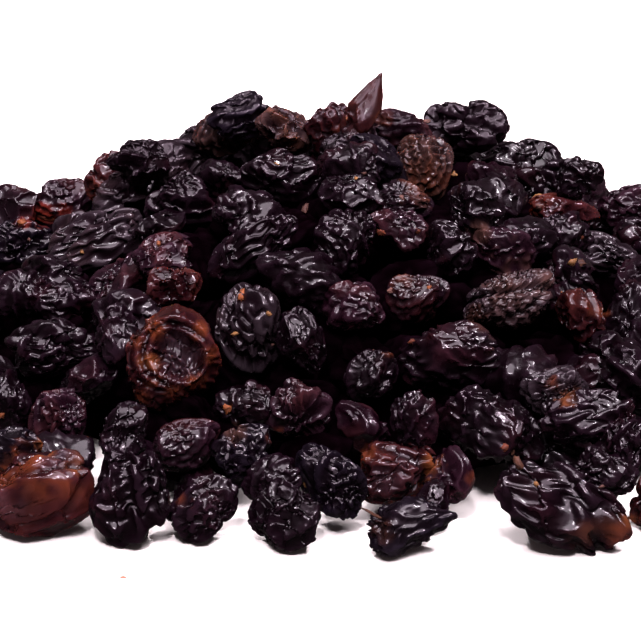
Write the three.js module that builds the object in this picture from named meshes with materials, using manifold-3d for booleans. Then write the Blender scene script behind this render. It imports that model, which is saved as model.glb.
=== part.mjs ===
// A heap of dried currants as it lies on a flat surface: a core, with every currant that shows fused to it.
// Millimetres, +Z up, the surface is z = 0, and the heap's top is over the origin.

import * as THREE from 'three';
import { ConvexGeometry } from 'three/addons/geometries/ConvexGeometry.js';
import { mergeVertices } from 'three/addons/utils/BufferGeometryUtils.js';
import Module from 'manifold-3d';

// The heap's outer surface
const HALF_WIDTH = 54;
const FRONT_DEPTH = 52;
const BACK_DEPTH = 48;
const TOP_HEIGHT = 28;
const RIM_HEIGHT = 6;
const TOP_SHARE = 0.2;
const TOP_ROUNDING = 0.16;
const OUTLINE_POWER = 2.3;
const WAVE_HEIGHT = 1.1;
const WAVE_LENGTH = 27;
const WAVE_START = 1;

// How the currants lie in it
const SEAT_DEPTH = 3.2;
const OUTER_OVERLAP = 0.86;
const TOUCH_OVERLAP = 0.83;
const SLIDE_LIMIT = 2;
const LINK_LENGTH = [5, 9];
const LINK_GRIP = 1.8;
const FRINGE_REACH = [1.1, 1.3];
const FRONT_HALF_WIDTH = 39;
const LEAN_LIMIT = 8;
const SINK_LIMIT = 4;
const HIDING_SHARE = 0.6;
const OUTER_TRIES = 5000;
const FRINGE_TRIES = 45;

// A currant, as length, width and thickness
const LENGTH_RANGE = [7.2, 11.6];
const WIDTH_RANGE = [0.7, 0.92];
const THICKNESS_RANGE = [0.74, 0.95];
const TILT_RANGE = 0.6;

// The core, under the currants that show
const CORE_DEPTH = 4.4;
const CORE_GRIP = 0.55;
const CORE_SPREAD = 0.93;
const CORE_RINGS = 3;
const CORE_SPOKES = 16;

// Facets
const SHOWN_POINTS = 18;
const FILL_POINTS = 11;
const CREASE_DEPTH = 0.12;
const CREASE_MIDDLE = 0.62;
const MERGE_DISTANCE = 1e-4;

// The side that was looked at, from in front and above. Places and sizes in SHOWN are as seen from there, in
// millimetres at the front row's distance, from the front row's foot at its middle.
const EYE_DISTANCE = 220;
const EYE_ELEVATION = THREE.MathUtils.degToRad(22);
const EYE_ACROSS = -2;
const FRONT_FOOT = -50;
const SIGHT_HEIGHT = 22.5;
const SIGHT_RANGE = [150, 276];

// across, up, length, width, turn in degrees, and how far it stands out towards the eye
const SHOWN = [
  // Along the top
  [-31.8, 33.5, 7.6, 5.6, 5, 0], [-25.1, 34.2, 6.6, 5.4, 10, 0], [-27.9, 32.8, 4.8, 2.8, 10, 0],
  [-21.0, 36.9, 5.6, 4.8, 60, 0], [-18.2, 38.4, 5.8, 4.8, 30, 0], [-19.8, 35.4, 6.6, 5.0, 15, 0],
  [-15.8, 38.2, 6.2, 5.0, 0, 0], [-12.3, 39.6, 6.4, 5.2, 20, 0], [-8.3, 42.9, 6.4, 4.8, 15, 0],
  [-9.8, 41.2, 6.2, 4.6, 10, 0], [-8.2, 39.5, 6.4, 5.0, -10, 0], [-3.8, 41.5, 6.0, 5.0, 0, 0],
  [0.8, 41.8, 5.6, 5.2, 80, 0], [4.9, 44.2, 6.6, 3.4, 52, 0], [8.2, 41.0, 6.4, 5.0, -10, 0],
  [14.7, 41.9, 8.8, 5.4, 0, 0.5], [21.0, 37.0, 9.6, 7.8, -20, 0], [25.8, 37.4, 5.4, 4.6, 45, 0],
  [31.2, 33.4, 6.8, 5.6, 0, 0],
  // Upper rows
  [2.8, 40.1, 6.2, 4.8, 0, 0], [2.8, 37.9, 6.4, 5.0, 0, 0], [10.2, 37.9, 6.7, 6.1, 70, 0.5],
  [-3.9, 36.9, 8.1, 5.8, 10, 0.5], [-14.0, 34.5, 7.7, 5.9, 5, 0.5], [-22.6, 30.4, 10.8, 6.1, 24, 0.5],
  [2.9, 34.9, 6.2, 4.9, 10, 0], [8.1, 34.2, 6.6, 4.9, -8, 0], [15.5, 33.4, 6.2, 4.9, -40, 0],
  [29.2, 31.7, 6.4, 4.9, 20, 0], [7.7, 31.5, 6.2, 4.9, 0, 0], [24.1, 30.8, 6.2, 5.1, 20, 0],
  [28.3, 28.8, 7.4, 4.9, -15, 0], [-30.0, 30.1, 7.0, 5.7, 0, 0], [-15.7, 28.9, 6.2, 4.9, 20, 0],
  [-6.7, 29.7, 10.6, 5.1, 34, 0.5], [2.2, 30.1, 7.4, 6.1, 80, 0.8], [12.8, 29.7, 6.2, 5.1, -50, 0],
  [18.3, 29.4, 6.7, 5.0, -15, 0],
  // Middle rows
  [-30.0, 25.2, 6.2, 5.0, 20, 0], [-25.3, 24.4, 6.2, 4.9, -10, 0], [-14.9, 25.9, 6.2, 4.9, 30, 0],
  [3.3, 24.0, 6.4, 5.1, 0, 0], [9.8, 25.0, 6.6, 5.5, 25, 0], [19.0, 24.4, 10.0, 5.9, 25, 0.5],
  [26.1, 22.7, 6.2, 4.9, 100, 0.5], [30.6, 22.5, 8.5, 5.1, 90, 0], [-26.5, 19.9, 9.8, 5.8, 8, 0.5],
  [-20.2, 21.2, 6.2, 4.9, 90, 0], [-7.1, 21.7, 9.3, 7.1, 105, 0.5], [-2.0, 20.5, 7.0, 5.1, 95, 0],
  [-14.8, 18.5, 10.8, 9.5, 60, 2], [12.2, 18.9, 10.4, 7.7, 0, 1.5], [5.0, 17.0, 6.2, 4.9, 40, 0],
  // Lower rows
  [-31.2, 14.5, 6.4, 4.9, 90, 0], [-26.3, 12.7, 6.7, 5.9, 80, 0], [-30.8, 9.5, 6.2, 4.9, 0, 0],
  [-7.7, 14.1, 6.2, 5.0, 0, 0], [-1.8, 13.5, 7.2, 6.6, 20, 1], [9.4, 12.5, 6.2, 4.9, 90, 0],
  [16.2, 12.3, 9.8, 7.4, -10, 0], [24.5, 14.9, 6.8, 5.0, 12, 0], [27.6, 12.0, 9.5, 5.7, 14, 0],
  [-19.5, 11.3, 6.2, 5.2, 40, 0], [-13.3, 10.1, 7.1, 5.3, 10, 0], [-7.5, 9.3, 6.6, 5.7, 30, 0],
  [4.1, 11.7, 6.2, 4.9, -15, 0], [28.6, 7.5, 6.7, 4.9, 0, 0], [31.4, 9.2, 6.2, 4.9, 60, 0],
  // Front row
  [-28.4, 5.2, 12.3, 8.9, 12, 0], [-19.1, 5.1, 10.0, 8.2, 95, 0], [-11.6, 3.9, 7.8, 5.9, 35, 0],
  [-5.0, 6.7, 6.2, 4.9, 10, 0], [-3.4, 3.0, 7.3, 6.6, -40, 0], [1.0, 6.5, 8.8, 6.3, -48, 0],
  [7.8, 7.5, 8.3, 6.6, 10, 0], [13.0, 7.0, 6.2, 4.9, 80, 0], [9.2, 2.0, 9.2, 6.0, 6, 0],
  [24.3, 4.5, 14.4, 8.5, -30, 0], [33.4, 4.4, 6.2, 4.9, 60, 0]
];

// Where the surface shows between the currants of the lower rows: across, up and half width, as above
const CLEARINGS = [
  [-22.3, 10.8, 1.0], [6.9, 11.3, 0.8], [16.8, 5.6, 2.4], [-7.6, 4.1, 0.8], [-15.3, 3.2, 0.8], [4.6, 4.8, 0.8]
];

const CLEARING_MARGIN = 1;
const CLEARING_LENGTH = 60;

const CURRANT_LOOK = { color: 0x17101a, roughness: 0.42, metalness: 0 };

const TURN = 2 * Math.PI;
const EYE_RIGHT = new THREE.Vector3(1, 0, 0);
const EYE_FORWARD = new THREE.Vector3(0, Math.cos(EYE_ELEVATION), -Math.sin(EYE_ELEVATION));
const EYE_UP = new THREE.Vector3(0, Math.sin(EYE_ELEVATION), Math.cos(EYE_ELEVATION));
const EYE = new THREE.Vector3(EYE_ACROSS, FRONT_FOOT, 0)
  .addScaledVector(EYE_UP, SIGHT_HEIGHT)
  .addScaledVector(EYE_FORWARD, -EYE_DISTANCE);

// Repeatable random numbers from 0 to 1
let randomState = 20461;
function random() {
  randomState = (randomState * 1664525 + 1013904223) % 4294967296;
  return randomState / 4294967296;
}

function randomIn([low, high]) {
  return low + (high - low) * random();
}

function depthTowards(y) {
  return y < 0 ? FRONT_DEPTH : BACK_DEPTH;
}

// 0 at the heap's top and 1 at its foot
function spread(x, y) {
  const u = Math.abs(x) / HALF_WIDTH;
  const v = Math.abs(y) / depthTowards(y);
  return Math.pow(Math.pow(u, OUTLINE_POWER) + Math.pow(v, OUTLINE_POWER), 1 / OUTLINE_POWER);
}

// The height of the heap's outer surface, which runs on below the floor past the foot
function surfaceHeight(x, y) {
  const past = spread(x, y) - TOP_SHARE;
  const ramp = 0.5 * (past + Math.sqrt(past * past + TOP_ROUNDING * TOP_ROUNDING)) / (1 - TOP_SHARE);
  const turns = TURN / WAVE_LENGTH;
  const wave = WAVE_HEIGHT * Math.sin(x * turns + WAVE_START) * Math.cos(y * turns);
  return TOP_HEIGHT - (TOP_HEIGHT - RIM_HEIGHT) * ramp + wave;
}

function surfaceNormal(x, y) {
  const step = 0.5;
  const slopeX = (surfaceHeight(x + step, y) - surfaceHeight(x - step, y)) / (2 * step);
  const slopeY = (surfaceHeight(x, y + step) - surfaceHeight(x, y - step)) / (2 * step);
  return new THREE.Vector3(-slopeX, -slopeY, 1).normalize();
}

// A currant's rough body: its middle, three directions and half its size along each
function makeBody(middle, directions, halves, points) {
  return { middle, directions, halves, points };
}

// How far a body reaches from its middle along a direction
function reachAlong(body, direction) {
  let sum = 0;
  for (let k = 0; k < 3; k++) {
    const part = direction.dot(body.directions[k]) / body.halves[k];
    sum += part * part;
  }
  return 1 / Math.sqrt(sum);
}

// Half of a body's height
function halfHeight(body) {
  let sum = 0;
  for (let k = 0; k < 3; k++) {
    const part = body.directions[k].z * body.halves[k];
    sum += part * part;
  }
  return Math.sqrt(sum);
}

// 1 where two bodies touch, and less where they sink into each other
function closeness(a, b) {
  const between = new THREE.Vector3().subVectors(b.middle, a.middle);
  const distance = between.length();
  between.divideScalar(distance);
  return distance / (reachAlong(a, between) + reachAlong(b, between));
}

function fits(body, others, overlap) {
  return others.every((other) => closeness(body, other) > overlap);
}

function lineOfSight(across, up) {
  const target = new THREE.Vector3(EYE_ACROSS, FRONT_FOOT, 0)
    .addScaledVector(EYE_RIGHT, across)
    .addScaledVector(EYE_UP, up);
  return target.sub(EYE).normalize();
}

// The first point along a line of sight at the height where a currant lies, or else the one nearest to it
function pointInSight(sight, lowest) {
  const step = 0.25;
  let nearest = Infinity;
  let best = EYE_DISTANCE;
  for (let along = SIGHT_RANGE[0]; along < SIGHT_RANGE[1]; along += step) {
    const point = EYE.clone().addScaledVector(sight, along);
    const above = point.z - Math.max(surfaceHeight(point.x, point.y) - SEAT_DEPTH, lowest);
    if (above < nearest) {
      nearest = above;
      best = along;
    }
    if (above <= 0) {
      break;
    }
  }
  return EYE.clone().addScaledVector(sight, best);
}

// One of the currants seen from in front: its long side and its width face the eye
function shownBody([across, up, length, width, turn, standOut]) {
  const angle = THREE.MathUtils.degToRad(turn);
  const sight = lineOfSight(across, up);
  const long = EYE_RIGHT.clone().multiplyScalar(Math.cos(angle)).addScaledVector(EYE_UP, Math.sin(angle));
  const wide = EYE_RIGHT.clone().multiplyScalar(-Math.sin(angle)).addScaledVector(EYE_UP, Math.cos(angle));
  const thick = new THREE.Vector3().crossVectors(long, wide);
  const halves = [length / 2, width / 2, width * randomIn(THICKNESS_RANGE) / 2];
  const body = makeBody(new THREE.Vector3(), [long, wide, thick], halves, SHOWN_POINTS);
  const away = pointInSight(sight, halfHeight(body)).sub(EYE).dot(EYE_FORWARD) / EYE_DISTANCE;
  body.halves = halves.map((half) => half * away);
  body.middle.copy(pointInSight(sight, halfHeight(body))).addScaledVector(sight, -standOut);
  body.middle.z = Math.max(body.middle.z, halfHeight(body));
  return body;
}

// A currant of random size that lies flat on the slope, more or less
function randomBody(x, y) {
  const normal = surfaceNormal(x, y);
  const turn = random() * TURN;
  const tiltX = (random() - 0.5) * 2 * TILT_RANGE;
  const tiltY = (random() - 0.5) * 2 * TILT_RANGE;
  const thick = new THREE.Vector3(normal.x + tiltX, normal.y + tiltY, normal.z).normalize();
  const long = new THREE.Vector3(Math.cos(turn), Math.sin(turn), 0);
  long.addScaledVector(thick, -long.dot(thick)).normalize();
  const wide = new THREE.Vector3().crossVectors(thick, long);
  const length = randomIn(LENGTH_RANGE);
  const width = length * randomIn(WIDTH_RANGE);
  const halves = [length / 2, width / 2, width * randomIn(THICKNESS_RANGE) / 2];
  return makeBody(new THREE.Vector3(x, y, 0), [long, wide, thick], halves, FILL_POINTS);
}

// Moves currants along their line of sight, the nearest first, until each leans on what lies in front of it
function settleInSight(bodies) {
  const step = 0.2;
  const settled = [];
  const byDistance = [...bodies].sort((a, b) => a.middle.distanceTo(EYE) - b.middle.distanceTo(EYE));
  byDistance.forEach((body) => {
    const start = body.middle.clone();
    const isFree = fits(body, settled, TOUCH_OVERLAP);
    const direction = new THREE.Vector3().subVectors(start, EYE).normalize().multiplyScalar(isFree ? -1 : 1);
    const limit = isFree ? LEAN_LIMIT : SINK_LIMIT;
    let moved = 0;
    while (moved < limit && fits(body, settled, TOUCH_OVERLAP) === isFree) {
      body.middle.addScaledVector(direction, step);
      moved += step;
    }
    if (isFree && moved >= limit) {
      body.middle.copy(start);
    }
    body.middle.z = Math.max(body.middle.z, halfHeight(body));
    settled.push(body);
  });
}

// Whether a body would hide one of the places where the surface shows
function blocksClearing(body) {
  return CLEARINGS.some(([across, up, half]) => {
    const sight = lineOfSight(across, up);
    const offset = new THREE.Vector3().subVectors(body.middle, EYE);
    const along = offset.dot(sight);
    return offset.addScaledVector(sight, -along).length() < body.halves[1] + half;
  });
}

// Whether a body would lie in front of one of the currants that are seen
function hidesShown(body, shown) {
  const offset = new THREE.Vector3().subVectors(body.middle, EYE);
  return shown.some((other) => {
    const otherOffset = new THREE.Vector3().subVectors(other.middle, EYE);
    const distance = otherOffset.length();
    const apart = new THREE.Vector3().crossVectors(offset, otherOffset).length() / offset.length();
    return offset.length() < distance && apart < HIDING_SHARE * (body.halves[1] + other.halves[1]);
  });
}

// Adds random currants to the heap's surface wherever they fit
function fillSurface(bodies, shown) {
  for (let n = 0; n < OUTER_TRIES; n++) {
    const x = (random() * 2 - 1) * HALF_WIDTH;
    const y = random() * (FRONT_DEPTH + BACK_DEPTH) - FRONT_DEPTH;
    const body = randomBody(x, y);
    body.middle.z = Math.max(surfaceHeight(x, y) - SEAT_DEPTH, halfHeight(body));
    const clear = spread(x, y) < 1 && !blocksClearing(body) && !hidesShown(body, shown);
    if (clear && fits(body, bodies, OUTER_OVERLAP)) {
      bodies.push(body);
    }
  }
}

// Adds stray currants on the floor round the heap: each is pushed in from outside until it touches another
function fillFringe(bodies) {
  const step = 0.3;
  for (let n = 0; n < FRINGE_TRIES; n++) {
    const around = random() * TURN;
    const reach = randomIn(FRINGE_REACH);
    const footX = Math.cos(around) * HALF_WIDTH;
    const footY = Math.sin(around) * depthTowards(Math.sin(around));
    const body = randomBody(footX, footY);
    const inFront = footY < 0 && Math.abs(footX) < FRONT_HALF_WIDTH;
    body.middle.set(footX * reach, footY * reach, halfHeight(body));
    if (inFront || blocksClearing(body) || !fits(body, bodies, TOUCH_OVERLAP)) {
      continue;
    }
    const inward = new THREE.Vector3(-body.middle.x, -body.middle.y, 0).normalize();
    while (fits(body, bodies, TOUCH_OVERLAP) && body.middle.dot(inward) < 0) {
      body.middle.addScaledVector(inward, step);
    }
    if (!blocksClearing(body)) {
      bodies.push(body);
    }
  }
}

// Whether a body sinks into the core
function inCore(body) {
  const { x, y, z } = body.middle;
  return spread(x, y) < CORE_SPREAD && z - CORE_GRIP * halfHeight(body) < surfaceHeight(x, y) - CORE_DEPTH;
}

// The free distance between two bodies along the line between their middles
function gapBetween(a, b) {
  const between = new THREE.Vector3().subVectors(b.middle, a.middle);
  const distance = between.length();
  between.divideScalar(distance);
  return distance - TOUCH_OVERLAP * (reachAlong(a, between) + reachAlong(b, between));
}

// A currant that reaches from one body to another over the gap between them
function linkBody(from, to, gap) {
  const between = new THREE.Vector3().subVectors(to.middle, from.middle).normalize();
  const length = Math.min(Math.max(gap + LINK_GRIP, LINK_LENGTH[0]), LINK_LENGTH[1]);
  const width = length * randomIn(WIDTH_RANGE);
  const halves = [length / 2, width / 2, width * randomIn(THICKNESS_RANGE) / 2];
  const wide = new THREE.Vector3(-between.y, between.x, 0).normalize();
  const thick = new THREE.Vector3().crossVectors(between, wide);
  const body = makeBody(from.middle.clone(), [between, wide, thick], halves, FILL_POINTS);
  body.middle.addScaledVector(between, TOUCH_OVERLAP * reachAlong(from, between) + gap / 2);
  body.middle.z = Math.max(body.middle.z, halfHeight(body));
  return body;
}

// Makes every currant hang together with the core: a loose one slides over a small gap, or gets a link to it
function joinLoose(bodies) {
  const joined = bodies.filter(inCore);
  const loose = bodies.filter((body) => !inCore(body));
  while (loose.length > 0) {
    let best = { gap: Infinity };
    loose.forEach((body, index) => {
      joined.forEach((other) => {
        const gap = gapBetween(body, other);
        if (gap < best.gap) {
          best = { gap, index, other };
        }
      });
    });
    const body = loose[best.index];
    if (best.gap > SLIDE_LIMIT) {
      joined.push(linkBody(best.other, body, best.gap));
    } else {
      const shift = new THREE.Vector3().subVectors(best.other.middle, body.middle).normalize();
      body.middle.addScaledVector(shift, Math.max(best.gap, 0));
      joined.push(body);
      loose.splice(best.index, 1);
    }
  }
  return joined;
}

function layOutCurrants() {
  const shown = SHOWN.map(shownBody);
  settleInSight(shown);
  const bodies = [...shown];
  fillSurface(bodies, shown);
  fillFringe(bodies);
  return joinLoose(bodies);
}

// A ball of evenly spread points and the facets between them
function facetedBall(count) {
  const golden = Math.PI * (3 - Math.sqrt(5));
  const points = [];
  for (let k = 0; k < count; k++) {
    const z = 1 - (2 * k + 1) / count;
    const r = Math.sqrt(1 - z * z);
    points.push(new THREE.Vector3(r * Math.cos(golden * k), r * Math.sin(golden * k), z));
  }
  const hull = new ConvexGeometry(points);
  hull.deleteAttribute('normal');
  return mergeVertices(hull, MERGE_DISTANCE);
}

const BALLS = new Map([[SHOWN_POINTS, facetedBall(SHOWN_POINTS)], [FILL_POINTS, facetedBall(FILL_POINTS)]]);

// Equal volume needs a ball of few facets to be a little larger
const FACET_GROWTH = new Map([[SHOWN_POINTS, 1.1], [FILL_POINTS, 1.16]]);

// A currant: the ball stretched to the body's size, creased in and out, and standing no lower than the floor
function currantGeometry(body) {
  const geometry = BALLS.get(body.points).clone();
  const place = geometry.getAttribute('position');
  const growth = FACET_GROWTH.get(body.points);
  for (let k = 0; k < place.count; k++) {
    const bump = growth * (1 + CREASE_DEPTH * (random() - CREASE_MIDDLE));
    const corner = body.middle.clone();
    const parts = [place.getX(k), place.getY(k), place.getZ(k)];
    parts.forEach((part, axis) => {
      corner.addScaledVector(body.directions[axis], part * body.halves[axis] * bump);
    });
    place.setXYZ(k, corner.x, corner.y, Math.max(corner.z, 0));
  }
  return geometry;
}

// The core: rings of points on a surface under the currants, closed by a wall and a flat bottom
function coreGeometry() {
  const places = [0, 0, surfaceHeight(0, 0) - CORE_DEPTH];
  const faces = [];
  const at = (ring, spoke) => 1 + ring * CORE_SPOKES + (spoke % CORE_SPOKES);
  for (let ring = 0; ring <= CORE_RINGS; ring++) {
    const onFloor = ring === CORE_RINGS;
    const share = CORE_SPREAD * Math.min(ring + 1, CORE_RINGS) / CORE_RINGS;
    for (let spoke = 0; spoke < CORE_SPOKES; spoke++) {
      const angle = TURN * spoke / CORE_SPOKES;
      const scale = share * HALF_WIDTH / spread(Math.cos(angle) * HALF_WIDTH, Math.sin(angle) * HALF_WIDTH);
      const x = Math.cos(angle) * scale;
      const y = Math.sin(angle) * scale;
      places.push(x, y, onFloor ? 0 : surfaceHeight(x, y) - CORE_DEPTH);
      if (ring === 0) {
        faces.push(0, at(0, spoke), at(0, spoke + 1));
      } else {
        faces.push(at(ring - 1, spoke), at(ring, spoke), at(ring, spoke + 1));
        faces.push(at(ring - 1, spoke), at(ring, spoke + 1), at(ring - 1, spoke + 1));
      }
    }
  }
  const bottom = places.length / 3;
  places.push(0, 0, 0);
  for (let spoke = 0; spoke < CORE_SPOKES; spoke++) {
    faces.push(bottom, at(CORE_RINGS, spoke + 1), at(CORE_RINGS, spoke));
  }
  const geometry = new THREE.BufferGeometry();
  geometry.setAttribute('position', new THREE.Float32BufferAttribute(places, 3));
  geometry.setIndex(faces);
  return geometry;
}

// A block along a line of sight, as wide as the clearing that is seen along it
function clearingGeometry([across, up, half]) {
  const sight = lineOfSight(across, up);
  const side = 2 * (half + CLEARING_MARGIN);
  const block = new THREE.BoxGeometry(side, side, CLEARING_LENGTH);
  block.applyQuaternion(new THREE.Quaternion().setFromUnitVectors(new THREE.Vector3(0, 0, 1), sight));
  const foot = EYE.clone().addScaledVector(sight, -EYE.z / sight.z);
  block.translate(foot.x, foot.y, foot.z);
  block.deleteAttribute('normal');
  block.deleteAttribute('uv');
  return mergeVertices(block, MERGE_DISTANCE);
}

const wasm = await Module();
wasm.setup();

function toSolid(geometry) {
  const vertProperties = new Float32Array(geometry.getAttribute('position').array);
  const triVerts = new Uint32Array(geometry.getIndex().array);
  return new wasm.Manifold(new wasm.Mesh({ numProp: 3, vertProperties, triVerts }));
}

function toGeometry(solid) {
  const mesh = solid.getMesh();
  const geometry = new THREE.BufferGeometry();
  geometry.setAttribute('position', new THREE.Float32BufferAttribute(mesh.vertProperties, 3));
  geometry.setIndex(Array.from(mesh.triVerts));
  geometry.computeVertexNormals();
  return geometry;
}

// The heap's one solid. A hollow that fusing seals is filled, and a scrap that hangs loose is left out.
function fuse(core, openings, pieces) {
  const openCore = openings.reduce((solid, opening) => solid.subtract(toSolid(opening)), toSolid(core));
  const joined = wasm.Manifold.union([openCore, ...pieces.map(toSolid)]);
  const bodiesFound = joined.decompose().sort((a, b) => b.volume() - a.volume());
  return bodiesFound[0];
}

const bodies = layOutCurrants();
const heapSolid = fuse(coreGeometry(), CLEARINGS.map(clearingGeometry), bodies.map(currantGeometry));
const heap = new THREE.Mesh(toGeometry(heapSolid), new THREE.MeshStandardMaterial(CURRANT_LOOK));
heap.name = 'currant_heap';

const part = new THREE.Group();
part.add(heap);

export default part;
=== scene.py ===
"""Looks of a heap of dried currants, lying as poured on a white surface.

The heap's outline and the places of its currants follow the same steps as the solid's source, in millimetres.
Every currant is a skin that was relaxed over a shrunken, dented core, so its wrinkles are real relief.
"""

import logging
import math
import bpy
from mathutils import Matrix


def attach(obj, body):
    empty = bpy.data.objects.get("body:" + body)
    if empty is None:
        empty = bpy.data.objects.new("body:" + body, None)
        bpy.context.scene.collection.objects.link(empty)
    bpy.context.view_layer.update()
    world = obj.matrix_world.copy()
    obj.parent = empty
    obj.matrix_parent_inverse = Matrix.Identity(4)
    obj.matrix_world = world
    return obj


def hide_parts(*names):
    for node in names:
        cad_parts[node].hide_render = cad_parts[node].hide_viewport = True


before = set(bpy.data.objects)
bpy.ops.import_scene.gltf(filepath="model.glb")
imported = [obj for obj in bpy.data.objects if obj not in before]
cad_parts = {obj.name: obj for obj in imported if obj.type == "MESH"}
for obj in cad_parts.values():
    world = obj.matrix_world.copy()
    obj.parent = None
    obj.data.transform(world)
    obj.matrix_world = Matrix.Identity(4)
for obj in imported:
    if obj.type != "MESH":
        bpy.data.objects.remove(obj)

from concurrent.futures import ThreadPoolExecutor
from dataclasses import dataclass, field
from enum import Enum

import bmesh
import bpy
import numpy as np
from mathutils import Matrix, Vector

LOG = logging.getLogger("currants")

MM = 0.001
TURN = 2 * math.pi
BODY = "root"
NODE = "currant_heap"

Colour = tuple[float, float, float]
Range = tuple[float, float]

# How the currants lie in the heap
SEAT_DEPTH = 3.2
OUTER_OVERLAP = 0.86
TOUCH_OVERLAP = 0.83
SLIDE_LIMIT = 2.0
LINK_LENGTH: Range = (5.0, 9.0)
LINK_GRIP = 1.8
FRINGE_REACH: Range = (1.1, 1.3)
FRONT_HALF_WIDTH = 39.0
LEAN_LIMIT = 8.0
SINK_LIMIT = 4.0
HIDING_SHARE = 0.6
OUTER_TRIES = 5000
FRINGE_TRIES = 45
SIGHT_STEP = 0.25
SETTLE_STEP = 0.2
PUSH_STEP = 0.3

# Currants seen lower than this lie on the floor, so here they need no slide to join the core
FLOOR_ROW_TOP = 8.0

# A currant, as length, width and thickness
LENGTH_RANGE: Range = (7.2, 11.6)
WIDTH_RANGE: Range = (0.7, 0.92)
THICKNESS_RANGE: Range = (0.74, 0.95)
TILT_RANGE = 0.6

# The solid's core, which decides which currants hang together by themselves
CORE_DEPTH = 4.4
CORE_GRIP = 0.55
CORE_SPREAD = 0.93

# The layer under the outer currants
INNER_DEPTH: Range = (6.0, 10.5)
INNER_TRIES = 6000
INNER_OVERLAP = 0.66
INNER_SIZE = 0.92
INNER_LOWEST = 0.8
INNER_SPREAD = 0.97

# Where the camera stands
EYE_DISTANCE = 220.0
EYE_ELEVATION = math.radians(22)
EYE_ACROSS = -2.0
FRONT_FOOT = -50.0
SIGHT_HEIGHT = 22.5
SIGHT_RANGE: Range = (150.0, 276.0)
PICTURE_SIDE = 64.1
SENSOR = 36.0


class Skin(Enum):
    """The kinds of dried skin in the heap."""

    # Painted shade: a much darker copy of the black skin, for the layer that lies in shadow inside the heap
    PAINTED_SHADE = "deep"
    BLACK = "black"
    BLUE = "blue"
    GREY = "grey"
    PURPLE = "purple"
    WINE = "wine"
    BROWN = "brown"
    RED = "red"
    AMBER = "amber"


@dataclass(frozen=True)
class SkinColours:
    """Linear colours of one kind of skin.

    Attributes:
        valley: The colour between the wrinkles, painted darker there as shade.
        ridge: The colour on their tops, painted lighter there as the light that they catch.
        patch: The colour of its uneven patches.
        patchiness: How much of the skin the patches take, from 0 to 1.
    """

    valley: Colour
    ridge: Colour
    patch: Colour
    patchiness: float


COLOURS: dict[Skin, SkinColours] = {
    # The first kind is painted shade, the black skin darkened for the inner layer
    Skin.PAINTED_SHADE: SkinColours((0.0008, 0.0001, 0.0004), (0.0040, 0.0012, 0.0026), (0.003, 0.001, 0.002), 0.2),
    Skin.BLACK: SkinColours((0.0022, 0.0002, 0.0012), (0.0100, 0.0038, 0.0076), (0.018, 0.004, 0.007), 0.25),
    Skin.BLUE: SkinColours((0.0020, 0.0003, 0.0018), (0.0105, 0.0066, 0.0125), (0.010, 0.004, 0.008), 0.3),
    Skin.GREY: SkinColours((0.0050, 0.0014, 0.0032), (0.0360, 0.0230, 0.0310), (0.028, 0.013, 0.016), 0.4),
    Skin.PURPLE: SkinColours((0.0060, 0.0008, 0.0030), (0.0270, 0.0095, 0.0170), (0.042, 0.010, 0.012), 0.4),
    Skin.WINE: SkinColours((0.0070, 0.0007, 0.0015), (0.0440, 0.0095, 0.0115), (0.080, 0.016, 0.011), 0.4),
    Skin.BROWN: SkinColours((0.0070, 0.0016, 0.0022), (0.0850, 0.0400, 0.0400), (0.090, 0.030, 0.018), 0.4),
    Skin.RED: SkinColours((0.0130, 0.0012, 0.0015), (0.0950, 0.0210, 0.0160), (0.150, 0.034, 0.014), 0.45),
    Skin.AMBER: SkinColours((0.1000, 0.0200, 0.0100), (0.2800, 0.0850, 0.0400), (0.320, 0.100, 0.038), 0.4),
}

# How often each kind comes among the currants that no row describes
MIX: dict[Skin, float] = {
    Skin.BLACK: 0.47,
    Skin.BLUE: 0.16,
    Skin.GREY: 0.07,
    Skin.PURPLE: 0.12,
    Skin.WINE: 0.10,
    Skin.BROWN: 0.03,
    Skin.RED: 0.05,
}

# The same for those that show between the rows, those at the rim and those below them
BETWEEN_MIX: dict[Skin, float] = {Skin.BLACK: 0.8, Skin.BLUE: 0.1, Skin.PURPLE: 0.1}
RIM_MIX: dict[Skin, float] = {Skin.BLACK: 1.0}
# Those below take the painted-shade skin
INNER_MIX: dict[Skin, float] = {Skin.PAINTED_SHADE: 1.0}


class Form(Enum):
    """The shapes that a skin can be relaxed to."""

    ANY = "any"
    LONG_FOLDS = "long_folds"
    FINE = "fine"
    SMOOTH = "smooth"
    HOLLOW = "hollow"
    LOBED = "lobed"
    ANGULAR = "angular"
    WEDGE = "wedge"
    GIANT = "giant"
    PEBBLED = "pebbled"
    LONG_PEBBLED = "long_pebbled"


@dataclass(frozen=True)
class Row:
    """One currant as it is seen from the front, in millimetres at the front row's distance.

    Attributes:
        across: How far it is to the right of the middle.
        up: How far it is above the front row's foot.
        length: Its long side.
        width: Its short side.
        turn: The long side's angle in degrees.
        stand: How far it stands out towards the eye.
        skin: Its kind of skin.
        form: Its shape.
        look: Picks one of that shape's skins and how it is turned.
    """

    across: float
    up: float
    length: float
    width: float
    turn: float
    stand: float
    skin: Skin
    form: Form = Form.ANY
    look: int = 0


K = Skin.BLACK
B = Skin.BLUE
G = Skin.GREY
P = Skin.PURPLE
W = Skin.WINE
N = Skin.BROWN
A = Skin.AMBER

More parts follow.
